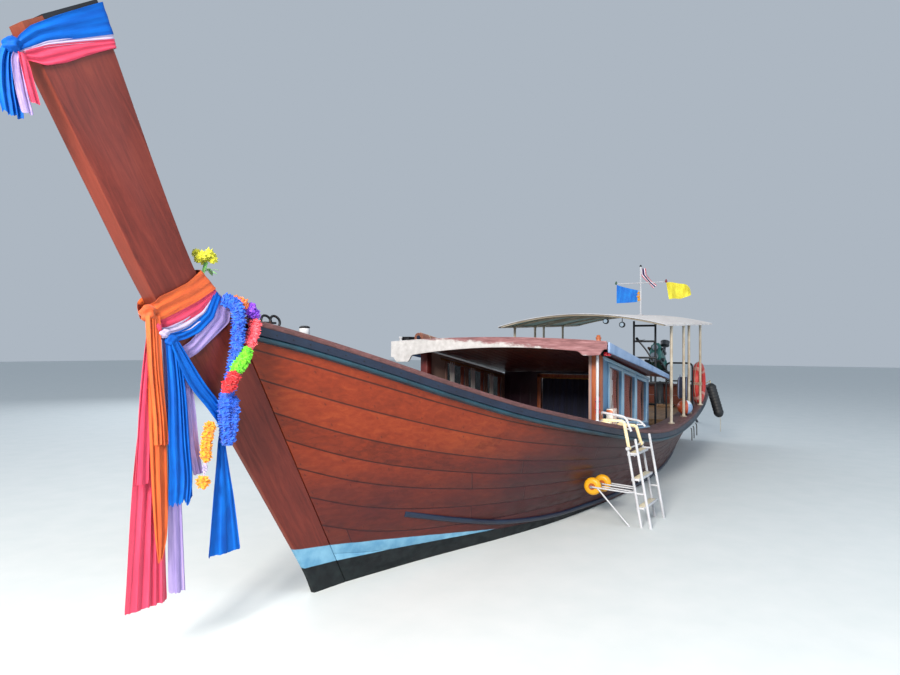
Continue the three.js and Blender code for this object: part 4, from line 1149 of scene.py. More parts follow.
# Edges of each sash band on the prow's face, as x and z from the rear to the knot
SASH_BANDS = [
    ("sash_orange", ORANGE_SILK, [(5.999, 2.140), (6.088, 2.063), (6.183, 2.012), (6.271, 1.970),
        (6.313, 1.912)], [(5.894, 2.045), (6.029, 1.958), (6.158, 1.893), (6.250, 1.848), (6.298, 1.862)],
        0.03, 0.016),
    ("sash_pink", PINK_SILK, [(5.930, 2.080), (6.040, 1.988), (6.166, 1.911), (6.265, 1.858)],
        [(5.879, 2.023), (5.982, 1.902), (6.104, 1.838), (6.252, 1.800)], 0.03, 0.011),
    ("sash_white", WHITE_SILK, [(5.905, 2.05), (6.00, 1.927), (6.109, 1.860), (6.235, 1.800)],
        [(5.872, 2.009), (5.947, 1.885), (6.064, 1.803), (6.210, 1.765)], 0.05, 0.008),
    ("sash_blue", BLUE_SILK, [(5.895, 2.040), (5.955, 1.906), (6.071, 1.819), (6.190, 1.770)],
        [(5.853, 1.996), (5.902, 1.868), (5.997, 1.788), (6.160, 1.722)], 0.06, 0.012),
    ("sash_lavender", LAVENDER_SILK, [(5.880, 2.030), (5.907, 1.894), (6.009, 1.788), (6.107, 1.692)],
        [(5.772, 1.952), (5.785, 1.852), (5.922, 1.738), (6.062, 1.625)], 0.06, 0.006),
]

TAILS = [
    ("tail_pink", PINK_SILK, [(6.288, 0.045, 1.837, 0.05), (6.282, 0.045, 1.506, 0.105),
        (6.289, 0.045, 1.006, 0.185), (6.292, 0.045, 0.327, 0.270)], 4, 0.014, 0.004, 0.4),
    ("tail_pink_over", PINK_SILK, [(6.310, 0.066, 1.822, 0.04), (6.335, 0.068, 1.482, 0.06),
        (6.352, 0.070, 0.988, 0.075)], 2, 0.008, 0.003, 1.9),
    ("tail_orange", ORANGE_SILK, [(6.308, 0.085, 1.868, 0.075), (6.293, 0.090, 1.586, 0.085),
        (6.262, 0.090, 1.321, 0.09), (6.250, 0.090, 1.182, 0.085)], 3, 0.011, 0.006, 0.0),
    ("tail_orange_under", ORANGE_SILK, [(6.297, 0.072, 1.862, 0.06), (6.273, 0.074, 1.467, 0.095),
        (6.252, 0.076, 1.068, 0.10), (6.236, 0.076, 0.734, 0.078), (6.239, 0.076, 0.564, 0.024)], 3, 0.010,
        0.02, 2.2),
    ("tail_white", LAVENDER_SILK, [(6.215, 0.066, 1.765, 0.06), (6.183, 0.064, 1.394, 0.065),
        (6.139, 0.060, 0.847, 0.08), (6.110, 0.058, 0.357, 0.10)], 2, 0.011, 0.01, 1.1),
    ("tail_blue", BLUE_SILK, [(6.204, 0.100, 1.745, 0.08), (6.171, 0.104, 1.476, 0.11),
        (6.152, 0.104, 1.192, 0.14), (6.131, 0.104, 0.986, 0.155), (6.134, 0.104, 0.858, 0.145)], 4, 0.014,
        0.03, 0.7),
    ("tail_lavender", LAVENDER_SILK, [(6.117, 0.078, 1.664, 0.045), (6.078, 0.088, 1.457, 0.065),
        (6.046, 0.088, 1.179, 0.08), (6.005, 0.088, 0.992, 0.065)], 2, 0.010, 0.006, 2.9),
    ("tail_blue_side", BLUE_SILK, [(6.196, 0.112, 1.732, 0.06), (6.056, 0.112, 1.513, 0.115),
        (5.905, 0.108, 1.345, 0.115), (5.848, 0.092, 1.245, 0.065), (5.856, 0.092, 1.148, 0.065),
        (5.868, 0.115, 0.992, 0.105), (5.861, 0.120, 0.796, 0.165), (5.850, 0.120, 0.512, 0.240)], 3, 0.014,
        0.004, 1.5),
]


def prow_sash():
    for k, (name, finish, upper, lower, knot, lift) in enumerate(SASH_BANDS):
        wrapped(name, finish, upper, lower, knot, lift, "prow_ribbons", 0.37 * k)
    for name, finish, stops, folds, depth, fray, seed in TAILS:
        hanging(name, finish, stops, "prow_ribbons", folds, depth, fray, seed)
    knotted("sash_knot_orange", ORANGE_SILK, (6.316, 0.058, 1.881), (0.044, 0.036, 0.048), "prow_ribbons")
    knotted("sash_knot_pink", PINK_SILK, (6.268, 0.072, 1.808), (0.022, 0.022, 0.032), "prow_ribbons", 2, 1)
    knotted("sash_knot_white", WHITE_SILK, (6.238, 0.086, 1.776), (0.032, 0.022, 0.026), "prow_ribbons", 2, 2)
    knotted("sash_knot_blue", BLUE_SILK, (6.202, 0.096, 1.738), (0.038, 0.026, 0.034), "prow_ribbons", 2, 3)


HEAD_BANDS = [
    ("head_band_blue", BLUE_SILK, [(6.600, 3.412), (6.817, 3.252), (6.935, 3.155), (6.985, 3.089),
        (7.000, 3.045)], [(6.540, 3.274), (6.725, 3.176), (6.858, 3.109), (6.941, 3.045), (6.982, 3.022)],
        0.009),
    ("head_band_white", WHITE_SILK, [(6.542, 3.284), (6.725, 3.186), (6.858, 3.117), (6.942, 3.052),
        (6.979, 3.030)], [(6.533, 3.242), (6.725, 3.152), (6.858, 3.086), (6.941, 3.035), (6.972, 3.012)],
        0.006),
    ("head_band_pink", PINK_SILK, [(6.534, 3.252), (6.725, 3.160), (6.858, 3.094), (6.941, 3.042),
        (6.974, 3.022)], [(6.523, 3.211), (6.629, 3.145), (6.769, 3.046), (6.865, 2.995), (6.960, 2.995)],
        0.008),
]
HEAD_TAILS = [
    ("head_tail_blue", BLUE_SILK, [(7.005, 0.034, 3.043, 0.05), (7.020, 0.040, 2.966, 0.075),
        (7.015, 0.042, 2.856, 0.09), (6.992, 0.042, 2.734, 0.085)], 3, 0.014, 0.015, 0.3),
    ("head_tail_lavender", LAVENDER_SILK, [(6.984, 0.055, 3.017, 0.035), (6.990, 0.062, 2.962, 0.05),
        (6.970, 0.064, 2.866, 0.048), (6.938, 0.064, 2.754, 0.048)], 2, 0.009, 0.008, 1.2),
    ("head_tail_pink", PINK_SILK, [(6.975, 0.072, 3.013, 0.03), (6.962, 0.080, 2.960, 0.044),
        (6.944, 0.082, 2.890, 0.046), (6.916, 0.082, 2.801, 0.045)], 2, 0.007, 0.004, 2.2),
]


def head_ribbons():
    for k, (name, finish, upper, lower, lift) in enumerate(HEAD_BANDS):
        wrapped(name, finish, upper, lower, 0.03, lift, "head_wrap", 0.41 * k + 0.2)
    for name, finish, stops, folds, depth, fray, seed in HEAD_TAILS:
        hanging(name, finish, stops, "head_wrap", folds, depth, fray, seed)
    knotted("head_knot", BLUE_SILK, (7.000, 0.044, 3.045), (0.036, 0.036, 0.038), "head_wrap", 3, 0.6)


def flower(name, base, shade):
    """Crinkled crepe ribbon, darker towards its shade colour in the crinkles: painted shade, mixed with
    uneven tone.
    """
    f = Finish(name, roughness=0.75, sheen=0.3)
    crinkle = f.noise(f.place(source="UV", scale=(40, 90, 1)), scale=3, detail=4)
    tone = f.noise(f.place(), scale=30, detail=4)
    colour = f.mix((crinkle * 0.6 + tone * 0.6).rise(0.35, 0.75), shade, base)
    return f.finish(colour, roughness=tone * 0.2 + 0.62, bump=crinkle, strength=0.5, depth=0.002)


FLOWERS = {name: flower(name + "_flowers", base, shade)
    for name, base, shade in (("blue", "1a6ae0", "0836a0"), ("orange", "f58a3c", "cc4f18"),
    ("purple", "9048e0", "5a1fa8"), ("salmon", "ff6b78", "e03048"), ("green", "7fe828", "3fae10"),
    ("red", "e01c28", "9c0c18"), ("marigold", "f7a418", "d06a08"), ("yellow", "ddd92a", "9aa018"),
    ("leaf", "7fc070", "3f8a3a"))}


def frilled(points, radius, pitch=0.0135, petals=9, seed=1):
    """A strand of ribbon flowers: rows of ruffled petals along a route, deep between the flowers."""
    path = smooth_path(points, 12)
    total = sum((b - a).length for a, b in zip(path, path[1:]))
    rows = max(4, int(2 * total / pitch))
    draw = random.Random(seed)
    spots = []
    walked, k = 0.0, 0
    for r in range(rows + 1):
        target = total * r / rows
        while k < len(path) - 2 and walked + (path[k + 1] - path[k]).length < target:
            walked += (path[k + 1] - path[k]).length
            k += 1
        way = path[k + 1] - path[k]
        spots.append((path[k] + way * min(1.0, (target - walked) / max(way.length, 1e-9)), way.normalized()))
    side = spots[0][1].orthogonal().normalized()
    sides = 2 * petals
    rings = []
    for r, (spot, way) in enumerate(spots):
        side = (side - way * side.dot(way)).normalized()
        other = way.cross(side)
        ring = []
        spin = draw.uniform(-0.12, 0.12)
        taper = min(1.0, 0.55 + 0.45 * min(r, rows - r) / 3)
        for i in range(sides):
            a = TURN * i / sides + spin
            if r % 2:
                full = 0.80 + 0.20 * abs(math.sin(math.pi * total * r / rows / BLOOM))
                size = radius * full * (0.78 + 0.26 * (i % 2) + draw.uniform(-0.12, 0.12))
                slide = pitch * draw.uniform(-0.9, 0.9)
            else:
                size = radius * draw.uniform(0.52, 0.66)
                slide = 0.0
            ring.append(spot + way * slide + (side * math.cos(a) + other * math.sin(a)) * size * taper)
        rings.append(ring)
    return lofted(rings, uv=lambda i, j: (i / sides * 0.2, j * pitch))


# The strands hang over the prow's rear edge, below the sash
BLUE_STRAND = [(5.825, 0.060, 1.990), (5.802, 0.145, 1.948), (5.793, 0.150, 1.878), (5.793, 0.150, 1.778),
    (5.803, 0.150, 1.678), (5.827, 0.150, 1.573), (5.852, 0.150, 1.470), (5.878, 0.150, 1.400),
    (5.882, 0.150, 1.310), (5.872, 0.150, 1.220), (5.866, 0.150, 1.140)]
LONG_STRAND = [(5.785, 0.060, 1.985), (5.733, 0.130, 1.958), (5.682, 0.130, 1.931), (5.651, 0.130, 1.887),
    (5.667, 0.150, 1.829), (5.686, 0.150, 1.768), (5.745, 0.170, 1.696), (5.799, 0.200, 1.628),
    (5.873, 0.225, 1.570), (5.906, 0.225, 1.503), (5.950, 0.225, 1.460)]
COLOUR_RUNS = [("orange", 0.0, 0.13), ("purple", 0.13, 0.33), ("salmon", 0.33, 0.59), ("green", 0.59, 0.81),
    ("red", 0.81, 1.0)]
BLOOM = 0.055


def garlands():
    """The strands, each colour one piece, and the posy that stands up behind the prow."""
    def hung(name, finish, pieces, **settings):
        finished(pieces, name, finish, "garland_loops", **settings)

    blue = [frilled(BLUE_STRAND, 0.047, seed=3)]
    runs = {}
    path = smooth_path(LONG_STRAND, 12)
    for name, start, end in COLOUR_RUNS:
        a, b = round(start * (len(path) - 1)), round(end * (len(path) - 1))
        run = path[a:b + 1]
        runs[name] = frilled(run[::3] + ([run[-1]] if (len(run) - 1) % 3 else []), 0.046, seed=name)
    blue.append(frilled([(5.834, 0.160, 1.423), (5.838, 0.168, 1.290), (5.862, 0.160, 1.150)], 0.040, seed=9))
    for name, obj in runs.items():
        hung("garland_" + name, FLOWERS[name], obj, smooth=0)
    hung("garland_blue", FLOWERS["blue"], blue, smooth=0)
    strings = [frilled([(5.965, 0.135, 1.285), (5.990, 0.130, 1.178), (5.998, 0.130, 1.065)], 0.038,
        seed=5), frilled([(6.010, 0.130, 0.985), (6.018, 0.130, 0.922)], 0.046, seed=6)]
    hung("garland_marigold", FLOWERS["marigold"], strings, smooth=0)
    thread = [tube([(5.996, 0.130, 1.09), (6.000, 0.130, 1.03), (6.008, 0.130, 0.98)], 0.003, 8)]
    thread.append(frilled([(5.998, 0.130, 1.06), (6.004, 0.130, 1.00)], 0.016, seed=7))
    hung("garland_tinsel", WHITE_SILK, thread, slot="garland")
    lower, upper = circle((5.912, 0, 2.198), 0.034, 2, 9), circle((5.915, 0, 2.235), 0.058, 2, 9)
    posy = []
    for k, ((x0, y0, z0), (x1, y1, z1)) in enumerate(zip(lower, upper)):
        ends = [(x0, y0, z0 + 0.014 * (k % 3)), (x1, y1, z1 + 0.018 * (k % 3))]
        posy.append(frilled(ends, 0.032, petals=8, seed=20 + k))
    hung("posy_flowers", FLOWERS["yellow"], posy, smooth=0)
    stems = [tube(smooth_path([(5.965, 0.0, 2.085), (5.93, 0.008 * k, 2.13), (5.905, 0.012 * k, 2.200)], 5),
        0.004, 8) for k in (-1, 0, 1)]
    root = Vector((5.880, 0, 2.155))
    for k, tip in enumerate(circle((5.895, 0, 2.15), 0.065, 2, 7)):
        tip = Vector(tip) + Vector((0, 0, 0.03 * (k % 2)))
        wide = (tip - root).normalized().cross(Vector(UP)).normalized()
        rings = []
        for share, half in ((0, 0.003), (0.35, 0.013), (0.7, 0.010), (1, 0.001)):
            p = root.lerp(tip, share) + Vector((0, 0, -0.02 * share * share))
            rings.append([p - wide * half, p + Vector((0, 0, 0.003)), p + wide * half,
                p - Vector((0, 0, 0.001))])
        stems.append(lofted(rings))
    hung("posy_leaves", FLOWERS["leaf"], stems)


prow_sash()
head_ribbons()
garlands()


# Cabin

ROOF = {"front": 2.32, "aft": -0.06, "half": 1.25, "z_front": 1.775, "z_aft": 1.40, "camber": 0.045}
ROOF_SLOPE = (ROOF["z_front"] - ROOF["z_aft"]) / (ROOF["front"] - ROOF["aft"])
WALL_Y = 0.985
WALL_THICK = 0.032
WINDOWS = [(1.56, 1.12), (1.04, 0.60), (0.52, 0.10)]


def roof_edge(x):
    return ROOF["z_aft"] + ROOF_SLOPE * (x - ROOF["aft"])


def roof_top(x, y):
    return roof_edge(x) + ROOF["camber"] * (1 - (y / ROOF["half"]) ** 2)


def roof_boards(half, count, gap, top, bottom, ends, ease):
    """Boards laid fore and aft under the roof's curve, between two depths below it."""
    boards = []
    for y0, y1 in parted(-half, half, count, gap):
        corners = ((y0, top), (y1, top), (y1, bottom), (y0, bottom))
        rings = [[(x, y, roof_top(x, y) - drop) for y, drop in corners] for x in ends]
        boards.append(rounded(lofted(rings), ease))
    return boards


def cabin_roof():
    """The roof's boards, their glossy lining, the eave boards and the battens inside them."""
    x0, x1 = ROOF["aft"], ROOF["front"]
    half = ROOF["half"]
    finished(roof_boards(half, 20, 0.001, 0, 0.022, (x0, x1), 0.003), "roof_boards", ROOF_PAINT, "cabin_roof")
    lining = roof_boards(1.24, 24, 0.0015, 0.0225, 0.0378, (x0 + 0.01, x1 - 0.001), 0.002)
    finished(lining, "ceiling_boards", CEILING_VARNISH, "cabin_roof")
    for side, name in SIDES:
        rings = []
        for k in range(13):
            x = x0 + (x1 - 0.002 - x0) * k / 12
            z = roof_edge(x)
            deep = 0.046 + 0.046 * k / 12
            corners = ((0.001, 0.006), (0.018, 0.003), (0.018, -deep), (0.001, -deep - 0.004))
            rings.append([(x, side * (half + out), z + up) for out, up in corners])
        finished(rounded(lofted(rings), 0.003), "eave_board_" + name, EAVE_PAINT)
        corners = ((1.249, 0.040), (1.249, 0.052), (1.205, 0.050), (1.205, 0.036))
        inner = [[(x, side * y, roof_edge(x) - drop) for y, drop in corners] for x in (x0 + 0.02, x1 - 0.02)]
        finished(rounded(lofted(inner), 0.002), "eave_batten_" + name, CEILING_VARNISH)


def smoothstep(t):
    t = min(1.0, max(0.0, t))
    return t * t * (3 - 2 * t)


def fascia_foot(y):
    """Height of the fascia's lower edge, arched between two dropped bracket ends."""
    side = abs(y)
    drop, skew = (0.040, 0.025) if y > 0 else (0.072, 0.030)
    z = 1.722 - 0.058 * (side / 0.98) ** 2
    if side > 0.96:
        z = 1.664 - drop * smoothstep((side - 0.96) / 0.06)
    if side > 1.17:
        z += 0.055 * smoothstep((side - 1.17) / 0.05)
    return z + skew * y


def roof_fascia():
    front = ROOF["front"]
    columns, rows = 140, 6

    def place(i, j):
        y = -1.249 + 2.498 * i / columns
        top = roof_top(front, y) + 0.006
        low = fascia_foot(y)
        return (front + 0.026, y, low + (top - low) * j / rows)

    board = laid(columns, rows, place)
    shaped(board, "SOLIDIFY", thickness=0.0255, offset=-1)
    edited(board, ("normals_make_consistent", {"inside": False}))
    if sum(p.normal.x * p.area for p in board.data.polygons if p.center.x > front + 0.0255) < 0:
        edited(board, ("flip_normals", {}))
    rounded(board, 0.004, angle=50)
    finished(board, "fascia_board", FASCIA_PAINT, "roof_fascia")
    line = [(front + 0.024, y, roof_top(front, y)) for y in [-1.245 + 2.49 * k / 40 for k in range(41)]]
    beads = [tube([(x, y, z + up) for x, y, z in line], radius, 8)
        for up, radius in ((0.006, 0.006), (-0.028, 0.0035))]
    finished(beads, "fascia_beads", FASCIA_PAINT, "roof_fascia")


def wall_foot(x):
    return sheer_at(x)[1]


def window_frame(fore, aft, side):
    """Trim round one window, inside and out, and its sill."""
    y_in, y_out = side * WALL_Y, side * (WALL_Y + WALL_THICK)
    corners = [(aft, wall_foot(aft) + 0.085), (fore, wall_foot(fore) + 0.085),
        (fore, roof_edge(fore) - 0.120), (aft, roof_edge(aft) - 0.120)]
    middle = [sum(p[k] for p in corners) / 4 for k in (0, 1)]
    outer = [[c + math.copysign(0.034, c - m) for c, m in zip(corner, middle)] for corner in corners]
    pieces = []
    for face, out in ((y_out, side), (y_in, -side)):
        edge = face + out * 0.012
        rings = [[(xi, face, zi), (xi, edge, zi), (xo, edge, zo), (xo, face, zo)]
            for (xi, zi), (xo, zo) in zip(corners + corners[:1], outer + outer[:1])]
        pieces.append(rounded(lofted(rings, ends=False), 0.003))
    section = ((0.030, -0.020), (0.030, -0.004), (0, 0.002), (0, -0.020))
    lip = [[(x, y_out + side * out, z + up) for out, up in section] for x, z in corners[:2]]
    return pieces + [rounded(lofted(lip), 0.003)]


def side_walls():
    """The cabin's sides with their trims, panes, rails and cased corner posts."""
    for side, name in SIDES:
        wall = "side_wall_" + name
        finished(softened(wall, 0.002), "cabin_side_" + name, WALL_PAINT, wall)
        trims = [piece for fore, aft in WINDOWS for piece in window_frame(fore, aft, side)]
        finished(trims, "window_trims_" + name, TRIM_PAINT)
        middle = side * (WALL_Y + WALL_THICK / 2)
        panes = []
        for fore, aft in WINDOWS:
            rings = []
            for x in (aft + 0.001, fore - 0.001):
                low, high = wall_foot(x) + 0.086, roof_edge(x) - 0.121
                corners = ((-0.002, low), (0.002, low), (0.002, high), (-0.002, high))
                rings.append([(x, middle + dy, z) for dy, z in corners])
            panes.append(lofted(rings))
        # The starboard panes are nearly opaque and dark: painted shade where the windows are seen from inside
        # the cabin
        finished(panes, "window_panes_" + name, CLEAR_PANE if side > 0 else SHADED_PANE, smooth=0)
        # A rail along the head of the wall and a quarter-round along its foot
        face = side * (WALL_Y + WALL_THICK)
        section = ((0, -0.042), (0, -0.078), (0.014, -0.074), (0.014, -0.046))
        head = [[(x, face + side * out, roof_edge(x) + up) for out, up in section] for x in (-0.04, 1.955)]
        section = ((0, 0.0005), (0.020, 0.0005), (0.014, 0.014), (0, 0.020))
        foot = [[(x, face + side * out, wall_foot(x) + up) for out, up in section]
            for x in [-0.04 + 1.995 * k / 20 for k in range(21)]]
        finished([rounded(lofted(rings), 0.002) for rings in (head, foot)], "wall_rails_" + name, TRIM_PAINT)
        y = middle + (0.034 if side > 0 else 0)
        post = bar((1.954, y - 0.040, wall_foot(1.97) + 0.0005), (2.052, y + 0.052, roof_edge(2.0) - 0.034),
            0.006)
        # The starboard post takes the darker ceiling varnish: painted shade, as it stands in the cabin's
        # shadow
        finished(post, "corner_post_" + name, POST_WOOD if side > 0 else CEILING_VARNISH)


def curtains():
    columns, rows = 24, 14
    for side, name in SIDES:
        y = side * (WALL_Y - 0.0093)
        near, far = sorted((y, side * WALL_Y))
        rail = [tube([(0.06, y, 1.33), (1.70, y, 1.59)], 0.008, 12)]
        for x, z in ((0.07, 1.3316), (0.88, 1.46), (1.69, 1.5884)):
            rail.append(bar((x - 0.006, near, z - 0.012), (x + 0.006, far, z + 0.012), 0.002))
        rail = finished(rail, "curtain_rail_" + name, BRASS, "curtains_" + name)
        for k, (fore, aft) in enumerate(WINDOWS):
            pale, red = (0.165, 0.12) if side < 0 else (0.27, 0.22) if k == 0 else (0.10, 0.30)
            pair = ((fore - pale, fore - 0.035, CREAM_CLOTH), (aft + 0.03, aft + red, RED_CLOTH))
            for part, (x0, x1, finish) in enumerate(pair):
                middle = (x0 + x1) / 2
                top = 1.33 + (middle - 0.06) * 0.26 / 1.64 + 0.004
                low = wall_foot(middle) + 0.055
                folds = max(3, round((x1 - x0) / 0.04))

                def place(i, j):
                    s, t = i / columns, j / rows
                    swing = 0.030 * math.sin(math.pi * t) * (1 if part else -1)
                    wide = 1 - 0.25 * math.sin(math.pi * min(1, 1.2 * t)) ** 2
                    x = middle + (x1 - x0) * (s - 0.5) * wide + swing * 0.4
                    fold = 0.0062 * math.sin(TURN * folds * s + 0.6 * math.sin(3 * t + k))
                    return (x, y + fold, top + (low - top) * t + 0.15 * (x - middle) * (1 - t))

                sheet("curtain_%s_%d_%d" % (name, k, part), finish, columns, rows, place, (0.01, 0.02),
                    0.0014, "gathered", rail.name, "curtains_" + name)


def bulkhead():
    """The after bulkhead, its door case and the dark curtain that hangs in the doorway: a dark sheet that
    stands in for the deep shade beyond it.
    """
    finished(softened("aft_bulkhead", 0.002), "bulkhead_panel", BULKHEAD_PAINT, "aft_bulkhead")
    foot, head = SOLE_TOP + 0.001, 1.375
    sides = ((-0.48, -0.43, foot, head), (0.29, 0.34, foot, head), (-0.48, 0.34, 1.330, 1.378))
    case = [bar((-0.055, y0, z0), (0.010, y1, z1), 0.005) for y0, y1, z0, z1 in sides]
    finished(case, "door_case", POST_WOOD)

    def place(i, j):
        s, t = i / 60, j / 16
        fold = 0.014 * math.sin(TURN * 8 * s + 0.8 * math.sin(2 * t)) * (0.5 + 0.5 * t)
        return (-0.026 + fold, -0.418 + 0.696 * s, 1.318 + (0.40 - 1.318) * t)

    rail = tube([(-0.026, -0.43, 1.322), (-0.026, 0.29, 1.322)], 0.007, 12)
    rail = finished(rail, "door_curtain_rail", BRASS)
    # The closed navy curtain is a dark sheet standing in for the deep shade in the doorway
    sheet("door_curtain", NAVY_CLOTH, 60, 16, place, (0.01, 0.02), 0.0014, "gathered", rail.name)
    battens = [bar((-0.012, y - 0.012, 0.36), (-0.0095, y + 0.012, 1.30), 0.001)
        for y in (-0.90, -0.75, -0.60, 0.45, 0.60, 0.75, 0.90)]
    finished(battens, "bulkhead_battens", BULKHEAD_PAINT)


def benches():
    for side, name in SIDES:
        y0, y1 = (0.56, 0.90) if side > 0 else (-0.90, -0.56)
        slats = [bar((0.06, a, 0.618), (1.90, b, 0.640), 0.004) for a, b in parted(y0, y1, 4, 0.004)]
        legs = []
        foot = side * 0.6
        for x in (0.09, 0.98, 1.84):
            legs.append(bar((x - 0.02, foot - 0.02, SOLE_TOP + 0.0005), (x + 0.02, foot + 0.02, 0.612),
                0.004))
            legs.append(bar((x - 0.018, y0 + 0.01, 0.588), (x + 0.018, y1 - 0.01, 0.618), 0.004))
        finished(slats, "bench_slats_" + name, DECK_TIMBER, "bench_" + name)
        finished(legs, "bench_legs_" + name, POST_WOOD, "bench_" + name, slot="deck_wood")


def roof_items():
    # Rolled matting on the roof: a spiral, tied in two places
    x0, x1, y, radius = 1.50, 2.18, -0.985, 0.062
    z0, z1 = roof_top(x0, y) + 0.0640, roof_top(x1, y) + 0.0640
    rise = (z1 - z0) / (x1 - x0)
    outline = []
    turns = 3.2
    steps = 90
    for k in range(steps + 1):
        share = k / steps
        a = TURN * turns * share
        r = 0.026 + (radius - 0.026 - 0.003) * share
        outline.append((r * math.cos(a), r * math.sin(a), a))
    ring = [(c + 0.0035 * math.cos(a), s + 0.0035 * math.sin(a)) for c, s, a in outline]
    ring += [(c - 0.0035 * math.cos(a), s - 0.0035 * math.sin(a)) for c, s, a in reversed(outline)]
    rings = []
    for x in (x0, x0 + 0.2, x1 - 0.2, x1):
        z = z0 + (x - x0) * rise
        rings.append([(x, y + a, z + b) for a, b in ring])
    finished(lofted(rings), "roof_mat_roll", MAT_CLOTH, "roof_roll", smooth=40)
    core = tube([(x0 - 0.01, y, z0), (x1 + 0.008, y, z1)], 0.021, 16)
    finished(core, "roof_mat_core", NAVY_PAINT, "roof_roll", slot="dark_steel")
    ties = []
    for x in (1.68, 2.02):
        z = z0 + (x - x0) * rise
        # Drawn round the roll with a slight wave
        ties.append(tube([(x + 0.002 * math.sin(TURN * k / 8), py, pz)
            for k, (_, py, pz) in enumerate(circle((x, y, z), 0.0625, 0, 24))], 0.0028, 8, ring=True))
    finished(ties, "roof_mat_ties", ROPE, "roof_roll")
    top = roof_top(2.13, -1.16)
    box = [bar((2.06, -1.21, top - 0.002), (2.20, -1.11, 1.832), 0.008)]
    box.append(bar((2.052, -1.218, 1.829), (2.208, -1.102, 1.843), 0.005))
    finished(box, "roof_vent_box", DARK_IRON, "roof_box")
    posts = raised((2.225, -1.20, roof_top(2.225, -1.20)),
        [(0, 0.022), (0.006, 0.022), (0.008, 0.016), (0.060, 0.016), (0.063, 0.021), (0.076, 0.021),
        (0.081, 0.012)], 16)
    finished(posts, "roof_white_post", WHITE_PAINT)
    foot = roof_top(2.2, 1.12)
    stub = raised((2.2, 1.12, foot), [(0, 0.026), (0.045, 0.022), (0.048, 0.027), (0.062, 0.027),
        (0.066, 0.018), (0.078, 0.020), (0.084, 0.012), (0.085, 0)], 20)
    finished(stub, "roof_wood_stub", POST_WOOD)


def corner_fittings():
    """The side lamp under the port eave and the red flask clipped to the corner post."""
    body = bar((2.095, 1.135, 1.640), (2.175, 1.195, 1.690), 0.006)
    finished(body, "side_lamp_body", DARK_IRON)
    lens = joined(bar((2.118, 1.1955, 1.645), (2.172, 1.222, 1.686), 0.010),
        bar((2.1755, 1.165, 1.648), (2.186, 1.2, 1.684), 0.004))
    finished(lens, "side_lamp_lens", RED_LENS)
    hanger = bar((2.120, 1.150, 1.688), (2.150, 1.180, roof_top(2.13, 1.165) - 0.038), 0.002)
    finished(hanger, "side_lamp_hanger", DARK_IRON)
    x, y = 2.080, 1.072
    base = wall_foot(x) + 0.085
    flask = raised((x, y, base), [(0, 0.018), (0.004, 0.024), (0.15, 0.024), (0.168, 0.017), (0.176, 0.009),
        (0.19, 0.009), (0.192, 0.013), (0.205, 0.013), (0.207, 0.004)], 20)
    finished(flask, "post_flask", RED_PAINT)
    clips = [loop((x, y, base + h), 0.0255, 2, 20, 0.003) for h in (0.04, 0.12)]
    clips += [bar((2.047, y - 0.006, base + h - 0.006), (2.056, y + 0.006, base + h + 0.006), 0.001)
        for h in (0.04, 0.12)]
    finished(clips, "post_flask_clips", DARK_IRON)
    pole_x, pole_y = 2.17, 1.10
    foot = wall_foot(pole_x) + GAP
    head = roof_top(pole_x, pole_y) - 0.0385
    pole = [tube([(pole_x, pole_y, foot), (pole_x, pole_y, head)], 0.014, 20),
        raised((pole_x, pole_y, foot), [(0, 0.036), (0.006, 0.036), (0.009, 0.030), (0.011, 0.018),
        (0.022, 0.0145)], 20), raised((pole_x, pole_y, head - 0.02),
        [(0, 0.0145), (0.010, 0.018), (0.014, 0.032), (0.02, 0.032)], 20)]
    finished(pole, "grab_pole_white", WHITE_PAINT, "grab_pole")


ROOF_PAINT = enamel("roof_paint", "8f8478", "a89c90", "6a4a3c", roughness=0.6, chips=0.45)
EAVE_PAINT = enamel("eave_paint", "8ba3c4", "6f8ab0", "75635a", roughness=0.5, chips=0.3)
WALL_PAINT = enamel("wall_paint", "4d7aa2", "6b93b4", "37566f", roughness=0.4, chips=0.15,
    inside=("8a6a62", "b0948a"))
TRIM_PAINT = enamel("trim_paint", "86abc6", "9fbccd", "4a6a84", roughness=0.4, chips=0.25,
    inside=("6a4038", "9a7a70"))
WHITE_PAINT = enamel("white_enamel", "c6c8ce", "aeb0b6", "8c7a68", roughness=0.35, chips=0.12)
RED_PAINT = enamel("red_enamel", "c8241c", "d8443a", "5c1a14", roughness=0.3, chips=0.1)
RED_LENS = plastic("red_lens", "d81c2c", "e84858", roughness=0.15, rub=0.1)
BULKHEAD_PAINT = enamel("bulkhead_paint", "2b1826", "3a2231", "4a2a20", roughness=0.35, chips=0.1)
CEILING_VARNISH = wood("ceiling_varnish", "3a1012", "6e2622", grain=5, gloss=0.3, coat=0.15, worn=0.15,
    relief=0.04)
POST_WOOD = wood("post_wood", "7c3418", "bc6a3e", turn=(0, math.pi / 2, 0), grain=9, gloss=0.4, coat=0.15)
BRASS = metal("brass_rail", "b08a48", "5a4020", roughness=0.3, rust=0.15)
CREAM_CLOTH = cloth("cream_curtain", "e6e0d0", "b7b3c0", threads=500, sheen=0.2)
RED_CLOTH = cloth("red_curtain", "a0523e", "6a2a20", threads=500, sheen=0.3)
NAVY_CLOTH = cloth("navy_curtain", "1c2444", "0c1228", threads=500, sheen=0.2)
MAT_CLOTH = cloth("roof_mat", "a5705c", "6e3d30", threads=160, sheen=0.1)
ROPE = cloth("rope_lay", "c9c0a8", "8d8268", threads=260, sheen=0.1)
CLEAR_PANE = tinted_pane("clear_pane", 0.06)
# Nearly opaque: painted shade for the starboard windows
SHADED_PANE = tinted_pane("shaded_pane", 0.78)
FASCIA_PAINT = fascia_paint()

cabin_roof()
roof_fascia()
side_walls()
curtains()
bulkhead()
benches()
roof_items()
corner_fittings()


# Canopy and after part

